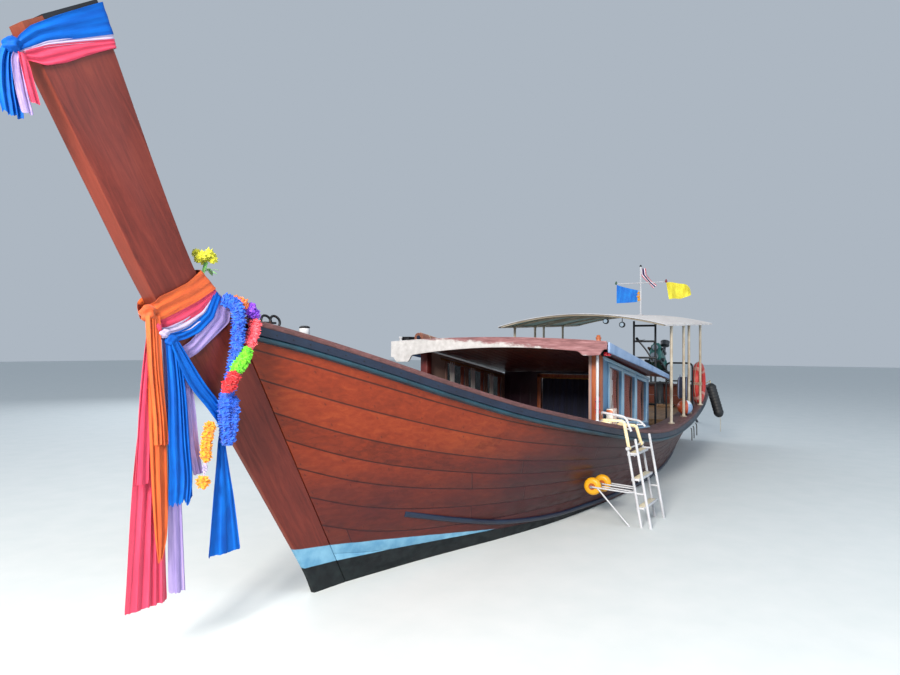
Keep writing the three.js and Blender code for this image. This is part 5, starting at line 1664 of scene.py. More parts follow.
ARCHES = (-0.24, -0.68, -1.43, -1.78, -2.62, -3.40)
POLES = ARCHES[1:5]
POLE_Y = 1.15
MAST_X, YARD_Z = -3.40, 2.895


def canopy_top(x, y):
    return 2.05 - 0.04025 * (x + 0.22) + 0.15 * (1 - (y / POLE_Y) ** 2)


def canopy_cloth(name, finish, drop, edge, hem):
    """The cover or its lining, hanging a little between the arches, its sides turned down over the tubes."""
    columns, rows = 96, 52

    def place(i, j):
        x = -0.206 - 3.230 * i / columns
        y = max(-edge, min(edge, edge * (2 * (j - 2) / (rows - 4) - 1)))
        down = hem * max(0, 2 - j, j - rows + 2) / 2
        for fore, aft in zip(ARCHES, ARCHES[1:]):
            if aft <= x <= fore:
                share = (x - aft) / (fore - aft)
                down += 0.11 * (fore - aft) ** 2 * share * (1 - share) * (0.6 + 0.4 * math.cos(2.6 * y))
        ruffle = 0.0025 * math.sin(31 * x + 4 * y) * (y / edge) ** 6
        return (x, y + ruffle, canopy_top(x, y) - drop - down)

    sheet(name, finish, columns, rows, place, (0.0337, 0.05), 0.0016, "stretched", "canopy_arches",
        "canopy_cover", soft=False, smooth=60)


def canopy():
    frame_tubes = []
    feet = []
    sink = 0.0195
    for x in ARCHES:
        arch = [(x, y, canopy_top(x, y) - sink) for y in [POLE_Y * (1 - k / 16) for k in range(33)]]
        frame_tubes.append(tube(arch, 0.0135, 14))
    for side in (1, -1):
        y = side * POLE_Y
        frame_tubes.append(tube([(x, y, canopy_top(x, y) - sink) for x in (ARCHES[0], ARCHES[-1])], 0.0135,
            14))
        for x in POLES:
            seat = sheer_at(x)[1] + GAP
            top = canopy_top(x, y) - sink
            feet.append(tube([(x, y, seat), (x, y, top)], 0.0185, 18))
            feet.append(raised((x, y, seat), [(0, 0.045), (0.006, 0.045), (0.009, 0.04), (0.012, 0.024),
                (0.03, 0.0195)], 20))
            feet.append(drum((x, y, top - 0.030), (x, y, top + 0.016), 0.0235, 18))
            feet += screw_heads([(x + 0.033 * math.cos(a), y + 0.033 * math.sin(a), seat + 0.006)
                for a in (0.8, 2.4, 3.9, 5.5)], UP, 0.004, 0.002)
    finished(frame_tubes, "canopy_arches", CANOPY_TUBE, "canopy_frame")
    finished(feet, "canopy_poles", CANOPY_TUBE, "canopy_frame")
    canopy_cloth("canopy_top_cloth", CANOPY_CLOTH, 0.0035, 1.192, 0.022)
    canopy_cloth("canopy_lining", LINING_CLOTH, 0.0055, 1.170, 0.004)
    hem = []
    for x in (-0.2065, -3.4355):
        hem.append(tube([(x, y, canopy_top(x, y) - 0.006)
            for y in [1.19 * (1 - k / 20) for k in range(41)]], 0.0065, 8))
    finished(hem, "canopy_piping", WHITE_PAINT, slot="canvas")
    lamps = []
    glass = []
    for y, drop in ((0.40, 0.030), (0.62, 0.055)):
        seat = canopy_top(-0.24, y) - 0.033
        z = seat - drop - 0.03
        lamps.append(drum((-0.262, y, z), (-0.215, y, z), 0.038, 20, 0.006))
        lamps.append(bar((-0.244, y - 0.005, z + 0.03), (-0.236, y + 0.005, seat + 0.004), 0.001))
        glass.append(drum((-0.216, y, z), (-0.211, y, z), 0.026, 20, 0.002))
    finished(lamps, "canopy_lamps", DARK_IRON)
    finished(glass, "canopy_lamp_glass", LAMP_GLASS)


def mast_and_flags():
    foot = canopy_top(MAST_X, 0) + GAP
    spar = [tube([(MAST_X, 0, foot), (MAST_X, 0, 3.19)], [0.0165, 0.014], 16),
        raised((MAST_X, 0, foot), [(0, 0.054), (0.007, 0.054), (0.01, 0.046), (0.013, 0.022),
        (0.03, 0.017)], 20), tube([(MAST_X, y, YARD_Z) for y in (-0.44, 0, 0.44)], [0.009, 0.0105, 0.009],
        14), drum((MAST_X, -0.024, YARD_Z), (MAST_X, 0.024, YARD_Z), 0.021, 16)]
    finished(spar, "mast_spars", WHITE_PAINT, "mast")
    cap = raised((MAST_X, 0, 3.18), [(0, 0.016), (0.004, 0.021), (0.012, 0.021), (0.026, 0.015),
        (0.038, 0)], 16)
    finished(cap, "mast_caps", DARK_IRON, "mast")
    for y, finish, name in ((-0.44, GREEN_CAP, "yard_cap_starboard"), (0.44, RED_CAP, "yard_cap_port")):
        cap = raised((MAST_X, y, YARD_Z - 0.012),
            [(0, 0.012), (0.008, 0.020), (0.030, 0.021), (0.040, 0.013), (0.058, 0.008), (0.060, 0)], 16)
        finished(cap, name, finish, "mast")

    def blue(s, t):
        # The hoist hangs at the yard's end, and the fly falls towards the mast
        y = -0.43 + 0.375 * s
        top, low = 2.884 - 0.115 * s ** 0.8, 2.547 + 0.012 * s
        return (0.020 * math.sin(5.5 * s + 2 * t) * (0.4 + s), y, top + (low - top) * t)

    def yellow(s, t):
        y = 0.4405 + 0.405 * s + 0.045 * t * (1 - s)
        top, low = 2.880 - 0.02 * s - 0.10 * s ** 5, 2.590 + 0.015 * s + 0.05 * s ** 6
        fold = math.sin(7.5 * s - 2.2 * t) + 0.4 * math.sin(15 * s + 3 * t)
        return (0.032 * fold * (0.3 + s), y, top + (low - top) * t + 0.008 * math.sin(9 * s))

    def striped(s, t):
        # It droops down the mast first, then blows out to port
        blown = max(0.0, (s - 0.30) / 0.70)
        middle = (0.016 + 0.205 * blown ** 1.15, 3.150 - 0.335 * s)
        half = 0.040 + 0.008 * math.sin(6 * s)
        turn = -0.85 * smoothstep(blown * 1.6)
        across = (t - 0.5) * 2 * half
        return (0.018 * math.sin(8 * s + 3 * t), max(0.0163, middle[0] + 0.03 + across * math.cos(turn)),
            middle[1] - across * math.sin(turn))

    for name, finish, shape, node in (("flag_cloth_blue", FLAG_BLUE, blue, "flag_blue"),
            ("flag_cloth_yellow", FLAG_YELLOW, yellow, "flag_yellow"),
            ("flag_cloth_striped", FLAG_STRIPES, striped, "flag_striped")):
        def place(i, j):
            dx, y, z = shape(i / 36, j / 24)
            return (MAST_X + dx, y, z)

        sheet(name, finish, 36, 24, place, (1 / 90, 1 / 70), 0.001, "hung", "mast_spars", node, soft=False)
    bunch = [ball((MAST_X + 0.02 * math.cos(2.1 * k), -0.026 + 0.018 * math.sin(1.7 * k), 2.60 + 0.018 * k),
        0.026 - 0.0012 * k, 12) for k in range(8)]
    finished(bunch, "mast_bunch", MARIGOLD_CLOTH)


def rails_and_steps():
    for side, name in SIDES:
        x = -2.35
        seat = sheer_at(x)[1] + GAP
        path = [(x, side * 0.69, DECK_TOP + 0.0006), (x, side * 0.69, 1.51), (x, side * 1.085, 1.51),
            (x, side * 1.085, seat)]
        rail = [tube(bent(path, 0.07, 8), 0.0138, 14),
            tube([(x, side * y, 1.23) for y in (0.69, 1.085)], 0.011, 12)]
        for y, z in ((0.69, DECK_TOP + 0.0006), (1.085, seat)):
            rail.append(flange((x, side * y, z), 0.034, 0.018, 0.0145))
        finished(rail, "helm_rail_" + name, DARK_IRON, "guard_rail_" + name)
    x = -1.0
    rails = []
    for y in (0.56, 0.86):
        top = canopy_top(x, y) - 0.0085
        rails.append(tube([(x, y, SOLE_TOP + 0.0006), (x, y, min(top, 2.118))], 0.0148, 14))
        rails.append(flange((x, y, SOLE_TOP + 0.0006), 0.036, 0.017, 0.0155))
    for z in (0.65, 0.95, 1.25, 1.60, 1.83, 2.05):
        rails.append(bar((x - 0.02, 0.55, z - 0.013), (x + 0.02, 0.87, z + 0.013), 0.005))
        rails += [bar((x + 0.004 * k - 0.001, 0.58, z + 0.0125), (x + 0.004 * k + 0.001, 0.84, z + 0.0145),
            0) for k in (-3, -1, 1, 3)]
    finished(rails, "roof_ladder_steps", DARK_IRON, "roof_ladder")


def hung_rope(name, finish, points, radius, far_end, *nodes, stiffness="limp"):
    """A rope along a smooth path. The length of that path is worked out, and not used."""
    path = smooth_path(points, 5)
    obj = finished(tube(path, radius, 10), name, finish, *nodes)
    length = sum((b - a).length for a, b in zip(path, path[1:]))


def floats_and_fender():
    cx, cy, cz = -2.90, 1.074, 1.185
    big, fat = 0.282, 0.0555

    ring = loop((cx, cy, cz), big, 1, 75, fat, 28)
    finished(ring, "lifebuoy_ring", BUOY_RED, "lifebuoy", smooth=60)
    bands = []
    for middle in (0.785, 2.356, 3.927, 5.498):
        turns = [middle + 0.11 * k for k in (-1, -0.5, 0, 0.5, 1)]
        bands.append(tube([(cx + big * math.cos(a), cy, cz + big * math.sin(a)) for a in turns],
            fat + 0.0012, 28))
    finished(bands, "lifebuoy_bands", BUOY_BAND, "lifebuoy", smooth=60)
    line = []
    for k in range(96):
        a = TURN * k / 96
        lift = 0.0585 + 0.007 * math.sin(2 * (a - 0.785)) ** 2 - 0.003
        line.append((cx + (big + lift) * math.cos(a), cy, cz + (big + lift) * math.sin(a)))
    finished(tube(line, 0.0042, 8, ring=True), "lifebuoy_grab_line", ROPE, "lifebuoy")
    lash = [loop((-2.620, 1.095, z), (0.064, 0.081), 2, 28, 0.004) for z in (1.17, 1.185, 1.20)]
    finished(lash, "lifebuoy_lashing", ROPE)
    # Ball float with a moulded rope eye
    seat = sheer_at(-1.6)[1]
    centre = (-1.6, 1.13, seat + 0.1085)
    eye = [raised((-1.6, 1.13, seat + 0.205), [(0, 0.034), (0.012, 0.030), (0.024, 0.024), (0.03, 0.012)],
        18), loop((-1.6, 1.13, seat + 0.246), 0.017, 0, 18, 0.006)]
    finished(ball(centre, 0.1075, 36), "ball_float_shell", FLOAT_SHELL, "ball_float", smooth=60)
    finished(eye, "ball_float_eye", NAVY_PAINT, "ball_float", slot="buoy")
    hung_rope("ball_float_lanyard", ROPE, [(-1.6, 1.13, seat + 0.262), (-1.615, 1.128, seat + 0.265),
        (-1.64, 1.12, seat + 0.24), (-1.69, 1.115, seat + 0.15), (-1.74, 1.125, seat + 0.06),
        (-1.7625, 1.138, seat + 0.012)], 0.005, "object")
    # Fender: a ribbed tube with moulded ends
    low, top = Vector((-3.6, 1.284, 0.585)), Vector((-3.6, 1.125, 1.15))
    length = (top - low).length
    profile = [(0, 0.020), (0.004, 0.034), (0.03, 0.062), (0.07, 0.0795)]
    for k in range(9):
        z = 0.085 + (length - 0.17) * k / 8
        profile += [(z, 0.0812), (z + 0.012, 0.0812), (z + 0.018, 0.077), (z + 0.04, 0.077)][:4 if k < 8
            else 2]
    profile += [(length - 0.055, 0.0795), (length - 0.03, 0.062), (length - 0.004, 0.034), (length, 0.020)]
    finished(turned(low, top, profile, 32), "fender_body", FENDER_RUBBER, "fender", smooth=40)
    half, sheer = sheer_at(-3.6)
    cleat = [bar((-3.625, half - 0.12, sheer + GAP), (-3.575, half - 0.03, sheer + 0.016), 0.004)]
    cleat.append(tube([(-3.60 + 0.02 * math.cos(a), half - 0.08, sheer + 0.014 + 0.02 * math.sin(a))
        for a in [math.pi * k / 10 for k in range(11)]], 0.004, 8))
    finished(cleat, "fender_cleat", DARK_IRON, "fender")
    hung_rope("fender_rope", ROPE, [(-3.6, half - 0.08, sheer + 0.018), (-3.6, half - 0.083, sheer + 0.09),
        (-3.6, half - 0.072, sheer + 0.17), (-3.6, 1.112, 1.188), (-3.6, 1.122, 1.198),
        (-3.6, 1.128, 1.185), (-3.6, 1.129, 1.145)], 0.0085, "object", "fender", stiffness="stiff")
    hung_rope("fender_tail", ROPE, [(-3.6, 1.284, 0.590), (-3.6, 1.289, 0.55), (-3.602, 1.290, 0.45),
        (-3.600, 1.290, 0.34)], 0.004, "knot")
    for k, x in enumerate((-1.22, -1.40, -1.66)):
        half, sheer = sheer_at(x)
        y = half + 0.044
        z = sheer - 0.125
        hung_rope("quarter_tail_%d" % k, DARK_ROPE,
            [(x, y - 0.012, z), (x + 0.004, y, z - 0.02), (x + 0.006, y + 0.004, z - 0.09),
            (x + 0.004, y + 0.004, z - 0.17)], 0.007, "knot")


def bag():
    back = -2.3387
    outline = [(0.001, 0.975), (0.045, 0.963), (0.084, 0.972), (0.104, 1.02), (0.107, 1.10), (0.102, 1.19),
        (0.090, 1.245), (0.055, 1.287), (0.020, 1.297), (0.001, 1.290)]
    rings = []
    for k in range(15):
        s = k / 14
        y = 0.867 + 0.189 * s
        bulge = 1 - 0.55 * abs(2 * s - 1) ** 5
        sag = 0.008 * math.sin(7 * s)
        rings.append(smooth_path([(back + dx * bulge, y,
            z + (1.12 - z) * (1 - bulge) * 0.35 + sag * (dx > 0.05)) for dx, z in outline], 3))
    obj = lofted(rings, uv=lambda i, j: (i * 0.01, j * 0.014))
    shaped(obj, "SUBSURF", levels=1, render_levels=1)
    finished(obj, "stowage_bag_body", NAVY_CLOTH, "stowage_bag", slot="bag_cloth", smooth=70)
    straps = []
    for y in (0.905, 1.018):
        strap = smooth_path([(back + 0.003 + dx * 1.02, y, z) for dx, z in outline[1:]]
            + [(back + 0.006, y, 1.33)], 3)
        straps.append(tube(strap, 0.0065, 8))
    straps.append(loop((back - 0.011, 0.96, 1.302), (0.021, 0.012), 1, 16, 0.004))
    finished(straps, "stowage_bag_straps", LIGHT_STRAP, "stowage_bag")


def bow_and_stern_fittings():
    x, y = 5.14, 0.06
    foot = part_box("bollard")[0][2]
    post = raised((x, y, foot), [(0, 0.034), (1.80 - foot, 0.034), (1.806 - foot, 0.036),
        (1.83 - foot, 0.036), (1.838 - foot, 0.033)], 24)
    finished(post, "bollard_post", WHITE_PAINT, "bollard")
    cap = raised((x, y, 1.838), [(0, 0.0345), (0.004, 0.0358), (0.010, 0.0358), (0.0165, 0.022),
        (0.0168, 0)], 24)
    finished(cap, "bollard_cap", DARK_IRON, "bollard")
    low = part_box("bow_ring")[0][2]
    rings = [tube([(rx + 0.044 * math.cos(a), -0.06 + 0.006 * math.cos(2 * a), 1.872 + 0.044 * math.sin(a))
        for a in [TURN * k / 32 for k in range(32)]], 0.0085, 12, ring=True) for rx in (5.30, 5.38)]
    rings.append(raised((5.34, -0.06, low), [(0, 0.012), (1.80 - low, 0.012), (1.812 - low, 0.018),
        (1.83 - low, 0.0175), (1.845 - low, 0.010)], 16))
    rings.append(bar((5.285, -0.066, 1.862), (5.395, -0.054, 1.876), 0.003))
    finished(rings, "bow_ring_pair", DARK_IRON, "bow_ring")
    cap = softened("transom_cap", 0.008)
    finished(cap, "transom_cap_timber", CAP_TIMBER, "transom_cap")
    bolts = screw_heads([(-4.935, 0.1 * k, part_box("transom_cap")[1][2] - 0.0005)
        for k in (-6, -3, 0, 3, 6)], UP, 0.008)
    finished(bolts, "transom_cap_bolts", DARK_IRON)


CANOPY_TUBE = enamel("canopy_tube", "bfb5a4", "a0917c", "6e5642", roughness=0.35, chips=0.3)
CANOPY_CLOTH = cloth("canopy_canvas", "dcdad8", "bdb4b4", threads=260, sheen=0.1)
LINING_CLOTH = cloth("canopy_lining", "9db8ae", "6d9088", threads=260, sheen=0.1)
LAMP_GLASS = plastic("lamp_glass", "8296a8", "a9bac8", roughness=0.12, rub=0.05)
GREEN_CAP = enamel("green_cap", "14402c", "2c5c40", "241a14", roughness=0.4, chips=0.1)
RED_CAP = enamel("red_cap", "6c1c24", "8c3238", "2c1410", roughness=0.4, chips=0.1)
FLAG_BLUE = cloth("flag_blue_cloth", "1c8ae6", "0a5cc0", threads=600, sheen=0.2)
FLAG_YELLOW = cloth("flag_yellow_cloth", "f2ee4a", "ccb92a", threads=600, sheen=0.2)
FLAG_STRIPES = cloth("flag_striped_cloth", "f1eef2", "c9c3d4", threads=600, sheen=0.2,
    stripes=[(0, 0.057, "cc3a4c"), (0.114, 0.229, "3a2458"), (0.286, 0.343, "cc3a4c")])
MARIGOLD_CLOTH = cloth("marigold_cloth", "f0b428", "d07c14", threads=300, sheen=0.2)
BUOY_RED = plastic("buoy_red", "c4302c", "d45a48", roughness=0.4, rub=0.3)
BUOY_BAND = plastic("buoy_band", "d0938a", "c87a70", roughness=0.5, rub=0.3)
FENDER_RUBBER = plastic("fender_black", "14161a", "2c3036", roughness=0.5, rub=0.5)
DARK_ROPE = cloth("dark_rope", "2a2420", "141210", threads=260, sheen=0.1)
LIGHT_STRAP = cloth("bag_strap", "8a93b0", "4c5674", threads=300, sheen=0.1)
FLOAT_SHELL = float_shell()

canopy()
mast_and_flags()
rails_and_steps()
floats_and_fender()
bag()
bow_and_stern_fittings()


# Boarding ladder

LADDER_RAILS = ((2.01, -0.038), (1.50, 0.038))
ROLLERS = (("roller_fore", 2.01, 1.000), ("roller_aft", 1.80, 1.032))
HINGE_Y, HINGE_Z, LEAN, STEP_Z = 1.352, 0.745, 0.178, (0.690, 0.450, 0.180, -0.080)
STRUT_Z, ROLLER_Z = 0.330, 0.345


def rail_at(x, out, z):
    return (x, HINGE_Y + out + (HINGE_Z - z) * LEAN, z)


def ladder_mount():
    cream, white, bolts = [], [], []
    for x, inward in LADDER_RAILS:
        half, sheer = sheer_at(x)
        deck = sheer + 0.014
        arm = x + inward
        cream.append(bar((x - 0.045, 1.042, sheer + GAP), (x + 0.045, half - 0.006, deck + 0.009), 0.004))
        cream.append(bar((arm - 0.018, 1.060, deck + 0.002), (arm + 0.018, 1.292, deck + 0.028), 0.007))
        cream.append(tube(bent([(arm, 1.255, deck + 0.010), (arm, 1.302, deck + 0.006),
            (arm, 1.350, 0.752)], 0.05, 8), 0.0165, 16))
        cream.append(drum((arm - 0.014, HINGE_Y, HINGE_Z), (arm + 0.014, HINGE_Y, HINGE_Z), 0.021, 20))
        white.append(tube(bent([(x, 1.075, deck + 0.008), (x, 1.075, deck + 0.095),
            (x, 1.330, deck + 0.060), (x, HINGE_Y + 0.033, HINGE_Z + 0.170)], 0.045, 8), 0.012, 16))
        white.append(tube([(x, 1.376, HINGE_Z + 0.190), (arm, 1.310, HINGE_Z + 0.190),
            (arm, 1.310, deck + 0.012)], 0.0085, 12))
        white.append(flange((x, 1.075, deck + 0.008), 0.030, 0.015, 0.0125))
        bolts += screw_heads([(x + dx, y, deck + 0.009) for dx in (-0.032, 0.032)
            for y in (1.055, 1.12, 1.17)], UP, 0.006)
    white.append(tube([(x, HINGE_Y, HINGE_Z) for x in (1.481, 2.029)], 0.0079, 16))
    white += [drum((x, HINGE_Y, HINGE_Z), (x + 0.006, HINGE_Y, HINGE_Z), 0.0135, 6, 0.001)
        for x in (1.4745, 2.0295)]
    finished(cream, "ladder_brackets", CREAM_PAINT, "ladder_frame")
    finished(white, "ladder_handrails", WHITE_PAINT, "ladder_frame")
    finished(bolts, "ladder_bracket_bolts", DARK_IRON, "ladder_frame")
    seat = sheer_at(1.66)[1] + GAP
    finished(bar((1.58, 1.045, seat), (1.74, 1.115, seat + 0.175), 0.012), "gunwale_caddy", CADDY)


def boarding_ladder():
    tubes = []
    for x, _ in LADDER_RAILS:
        tubes.append(tube(bent([rail_at(x, 0, 0.722), rail_at(x, 0, -0.170), rail_at(x, 0, -0.213),
            rail_at(x, 0.090, -0.178), rail_at(x, 0.090, 0.835)], 0.03, 6), 0.0128, 16))
        tubes += [tube([rail_at(x, 0, z), rail_at(x, 0.09, z)], 0.0095, 12) for z in (0.700, 0.32)]
        tubes.append(ball(rail_at(x, 0.09, 0.835), 0.0132, 16))
        ring = [(x + dx, radius) for dx, radius in ((-0.0145, 0.0088), (-0.0145, 0.018), (-0.012, 0.0195),
            (0.012, 0.0195), (0.0145, 0.018), (0.0145, 0.0088), (-0.0145, 0.0088))]
        tubes.append(turned((0, HINGE_Y, HINGE_Z), (1, HINGE_Y, HINGE_Z), ring, 28))
    finished(tubes, "ladder_rails", WHITE_PAINT, "boarding_ladder", body="ladder")
    treads, grips = [], []
    for z in STEP_Z:
        y = rail_at(0, 0, z)[1]
        treads.append(bar((1.503, y - 0.021, z - 0.010), (2.007, y + 0.059, z + 0.009), 0.005))
        treads += [bar((1.503, y + dy - 0.002, z - 0.017), (2.007, y + dy + 0.002, z - 0.009), 0)
            for dy in (-0.014, 0.052)]
        grips += [bar((1.53, y + 0.011 * k - 0.003, z + 0.0085), (1.98, y + 0.011 * k + 0.003, z + 0.0108),
            0.001) for k in range(-1, 5)]
    finished(treads, "ladder_treads", WHITE_PAINT, "boarding_ladder", body="ladder")
    finished(grips, "ladder_tread_grips", CREAM_PAINT, body="ladder")
    struts, nuts, wheels, hubs = [], [], [], []
    fore = LADDER_RAILS[0][0]
    y = rail_at(fore, 0, STRUT_Z)[1]
    for node, x, roller_y in ROLLERS:
        for dx in (-0.045, 0.045):
            struts.append(tube(bent([(fore, y, STRUT_Z), (x + dx, y - 0.06, STRUT_Z),
                (x + dx, roller_y - 0.008, ROLLER_Z)], 0.03), 0.0075, 12))
            side = math.copysign(1, dx)
            nuts.append(drum((x + side * 0.046, roller_y, ROLLER_Z), (x + side * 0.056, roller_y, ROLLER_Z),
                0.015, 6, 0.001))
        struts.append(tube([(x - 0.052, roller_y, ROLLER_Z), (x + 0.052, roller_y, ROLLER_Z)], 0.0088, 14))
        tyre = [(0.034, -0.031), (0.056, -0.034), (0.070, -0.030), (0.080, -0.022), (0.086, -0.012),
            (0.0878, 0), (0.086, 0.012), (0.080, 0.022), (0.070, 0.030), (0.056, 0.034), (0.034, 0.031),
            (0.034, -0.031)]
        hub = [(0.0094, -0.0335), (0.024, -0.0335), (0.027, -0.027), (0.0345, -0.027), (0.0345, 0.027),
            (0.027, 0.027), (0.024, 0.0335), (0.0094, 0.0335), (0.0094, -0.0335)]
        for profile, kept in ((tyre, wheels), (hub, hubs)):
            kept.append(turned((0, roller_y, ROLLER_Z), (1, roller_y, ROLLER_Z),
                [(x + dx, r) for r, dx in profile], 36))
        finished(wheels[-1], node + "_tyre", ROLLER_YELLOW, node, body="ladder", smooth=50)
        finished(hubs[-1], node + "_hub", ROLLER_HUB, node, body="ladder")
    struts.append(tube([(fore + 0.045, ROLLERS[0][2] + 0.06, 0.341), rail_at(fore, 0, -0.155)], 0.0078, 12))
    finished(struts, "ladder_struts", WHITE_PAINT, "boarding_ladder", body="ladder")
    finished(nuts, "ladder_axle_nuts", STAINLESS, "boarding_ladder", body="ladder")


# Engine. Its pieces are made level, with the shaft along x, then turned up to the shaft's slope

POST_X, PIN_Z = -4.78, 1.26
PIVOT = Vector((POST_X, 0, PIN_Z))
SHAFT_SLOPE = Matrix.Translation(PIVOT) @ Matrix.Rotation(-0.377, 4, "Y")
SHAFT_Z = 0.15


def tilted(obj, name, finish, *nodes, body="engine_tilt"):
    """Turns a piece, or a list joined into one, up to the shaft's slope and finishes it."""
    obj = joined(obj)
    obj.matrix_world = SHAFT_SLOPE @ obj.matrix_world
    finished(obj, name, finish, *nodes, body=body)


def bolt_ring(x, y, z, reach, count, radius=0.007, way=(1, 0, 0)):
    return screw_heads([(x, y + reach * math.cos(TURN * k / count), z + reach * math.sin(TURN * k / count))
        for k in range(count)], way, radius, 0.005)


def engine_post():
    """The post on its planks, and the fork that turns on it."""
    seat = 0.6803
    base = [bar((-4.91, -0.24 + 0.0805 * k, DECK_TOP + 0.0006), (-4.63, -0.161 + 0.0805 * k, seat), 0.004)
        for k in range(6)]
    finished(base, "engine_post_planks", DECK_TIMBER, "engine_post")
    column = [raised((POST_X, 0, seat), [(0, 0.105), (0.008, 0.105), (0.012, 0.066), (0.03, 0.062),
        (0.36, 0.062), (0.375, 0.072), (0.385, 0.072), (0.3895, 0.066), (0.3896, 0.024), (0.43, 0.0235)],
        36)]
    for a in range(4):
        turn = TURN * a / 4 + TURN / 8
        cx, cy = math.cos(turn), math.sin(turn)
        rings = [[(POST_X + cx * r - cy * w, cy * r + cx * w, z)
            for r, z in ((0.055, 0.688), (0.1, 0.688), (0.06, 0.86))] for w in (-0.004, 0.004)]
        column.append(lofted(rings))
    column += screw_heads([(POST_X + 0.088 * math.cos(TURN * k / 8), 0.088 * math.sin(TURN * k / 8), 0.688)
        for k in range(8)], UP, 0.009, 0.005)
    finished(column, "engine_post_column", IRON_PAINT, "engine_post")
    fork = softened("engine_fork", 0.003)
    caps = [drum((POST_X, s * 0.2005, PIN_Z), (POST_X, s * 0.2095, PIN_Z), 0.031, 6, 0.002) for s in (1, -1)]
    ribs = [bar((-4.735, s * 0.150 - 0.006, 1.101), (-4.725, s * 0.150 + 0.006, 1.20), 0.002)
        for s in (1, -1)]
    finished(joined(fork, caps, ribs), "engine_fork_arms", IRON_PAINT, "engine_fork", body="engine_swivel")


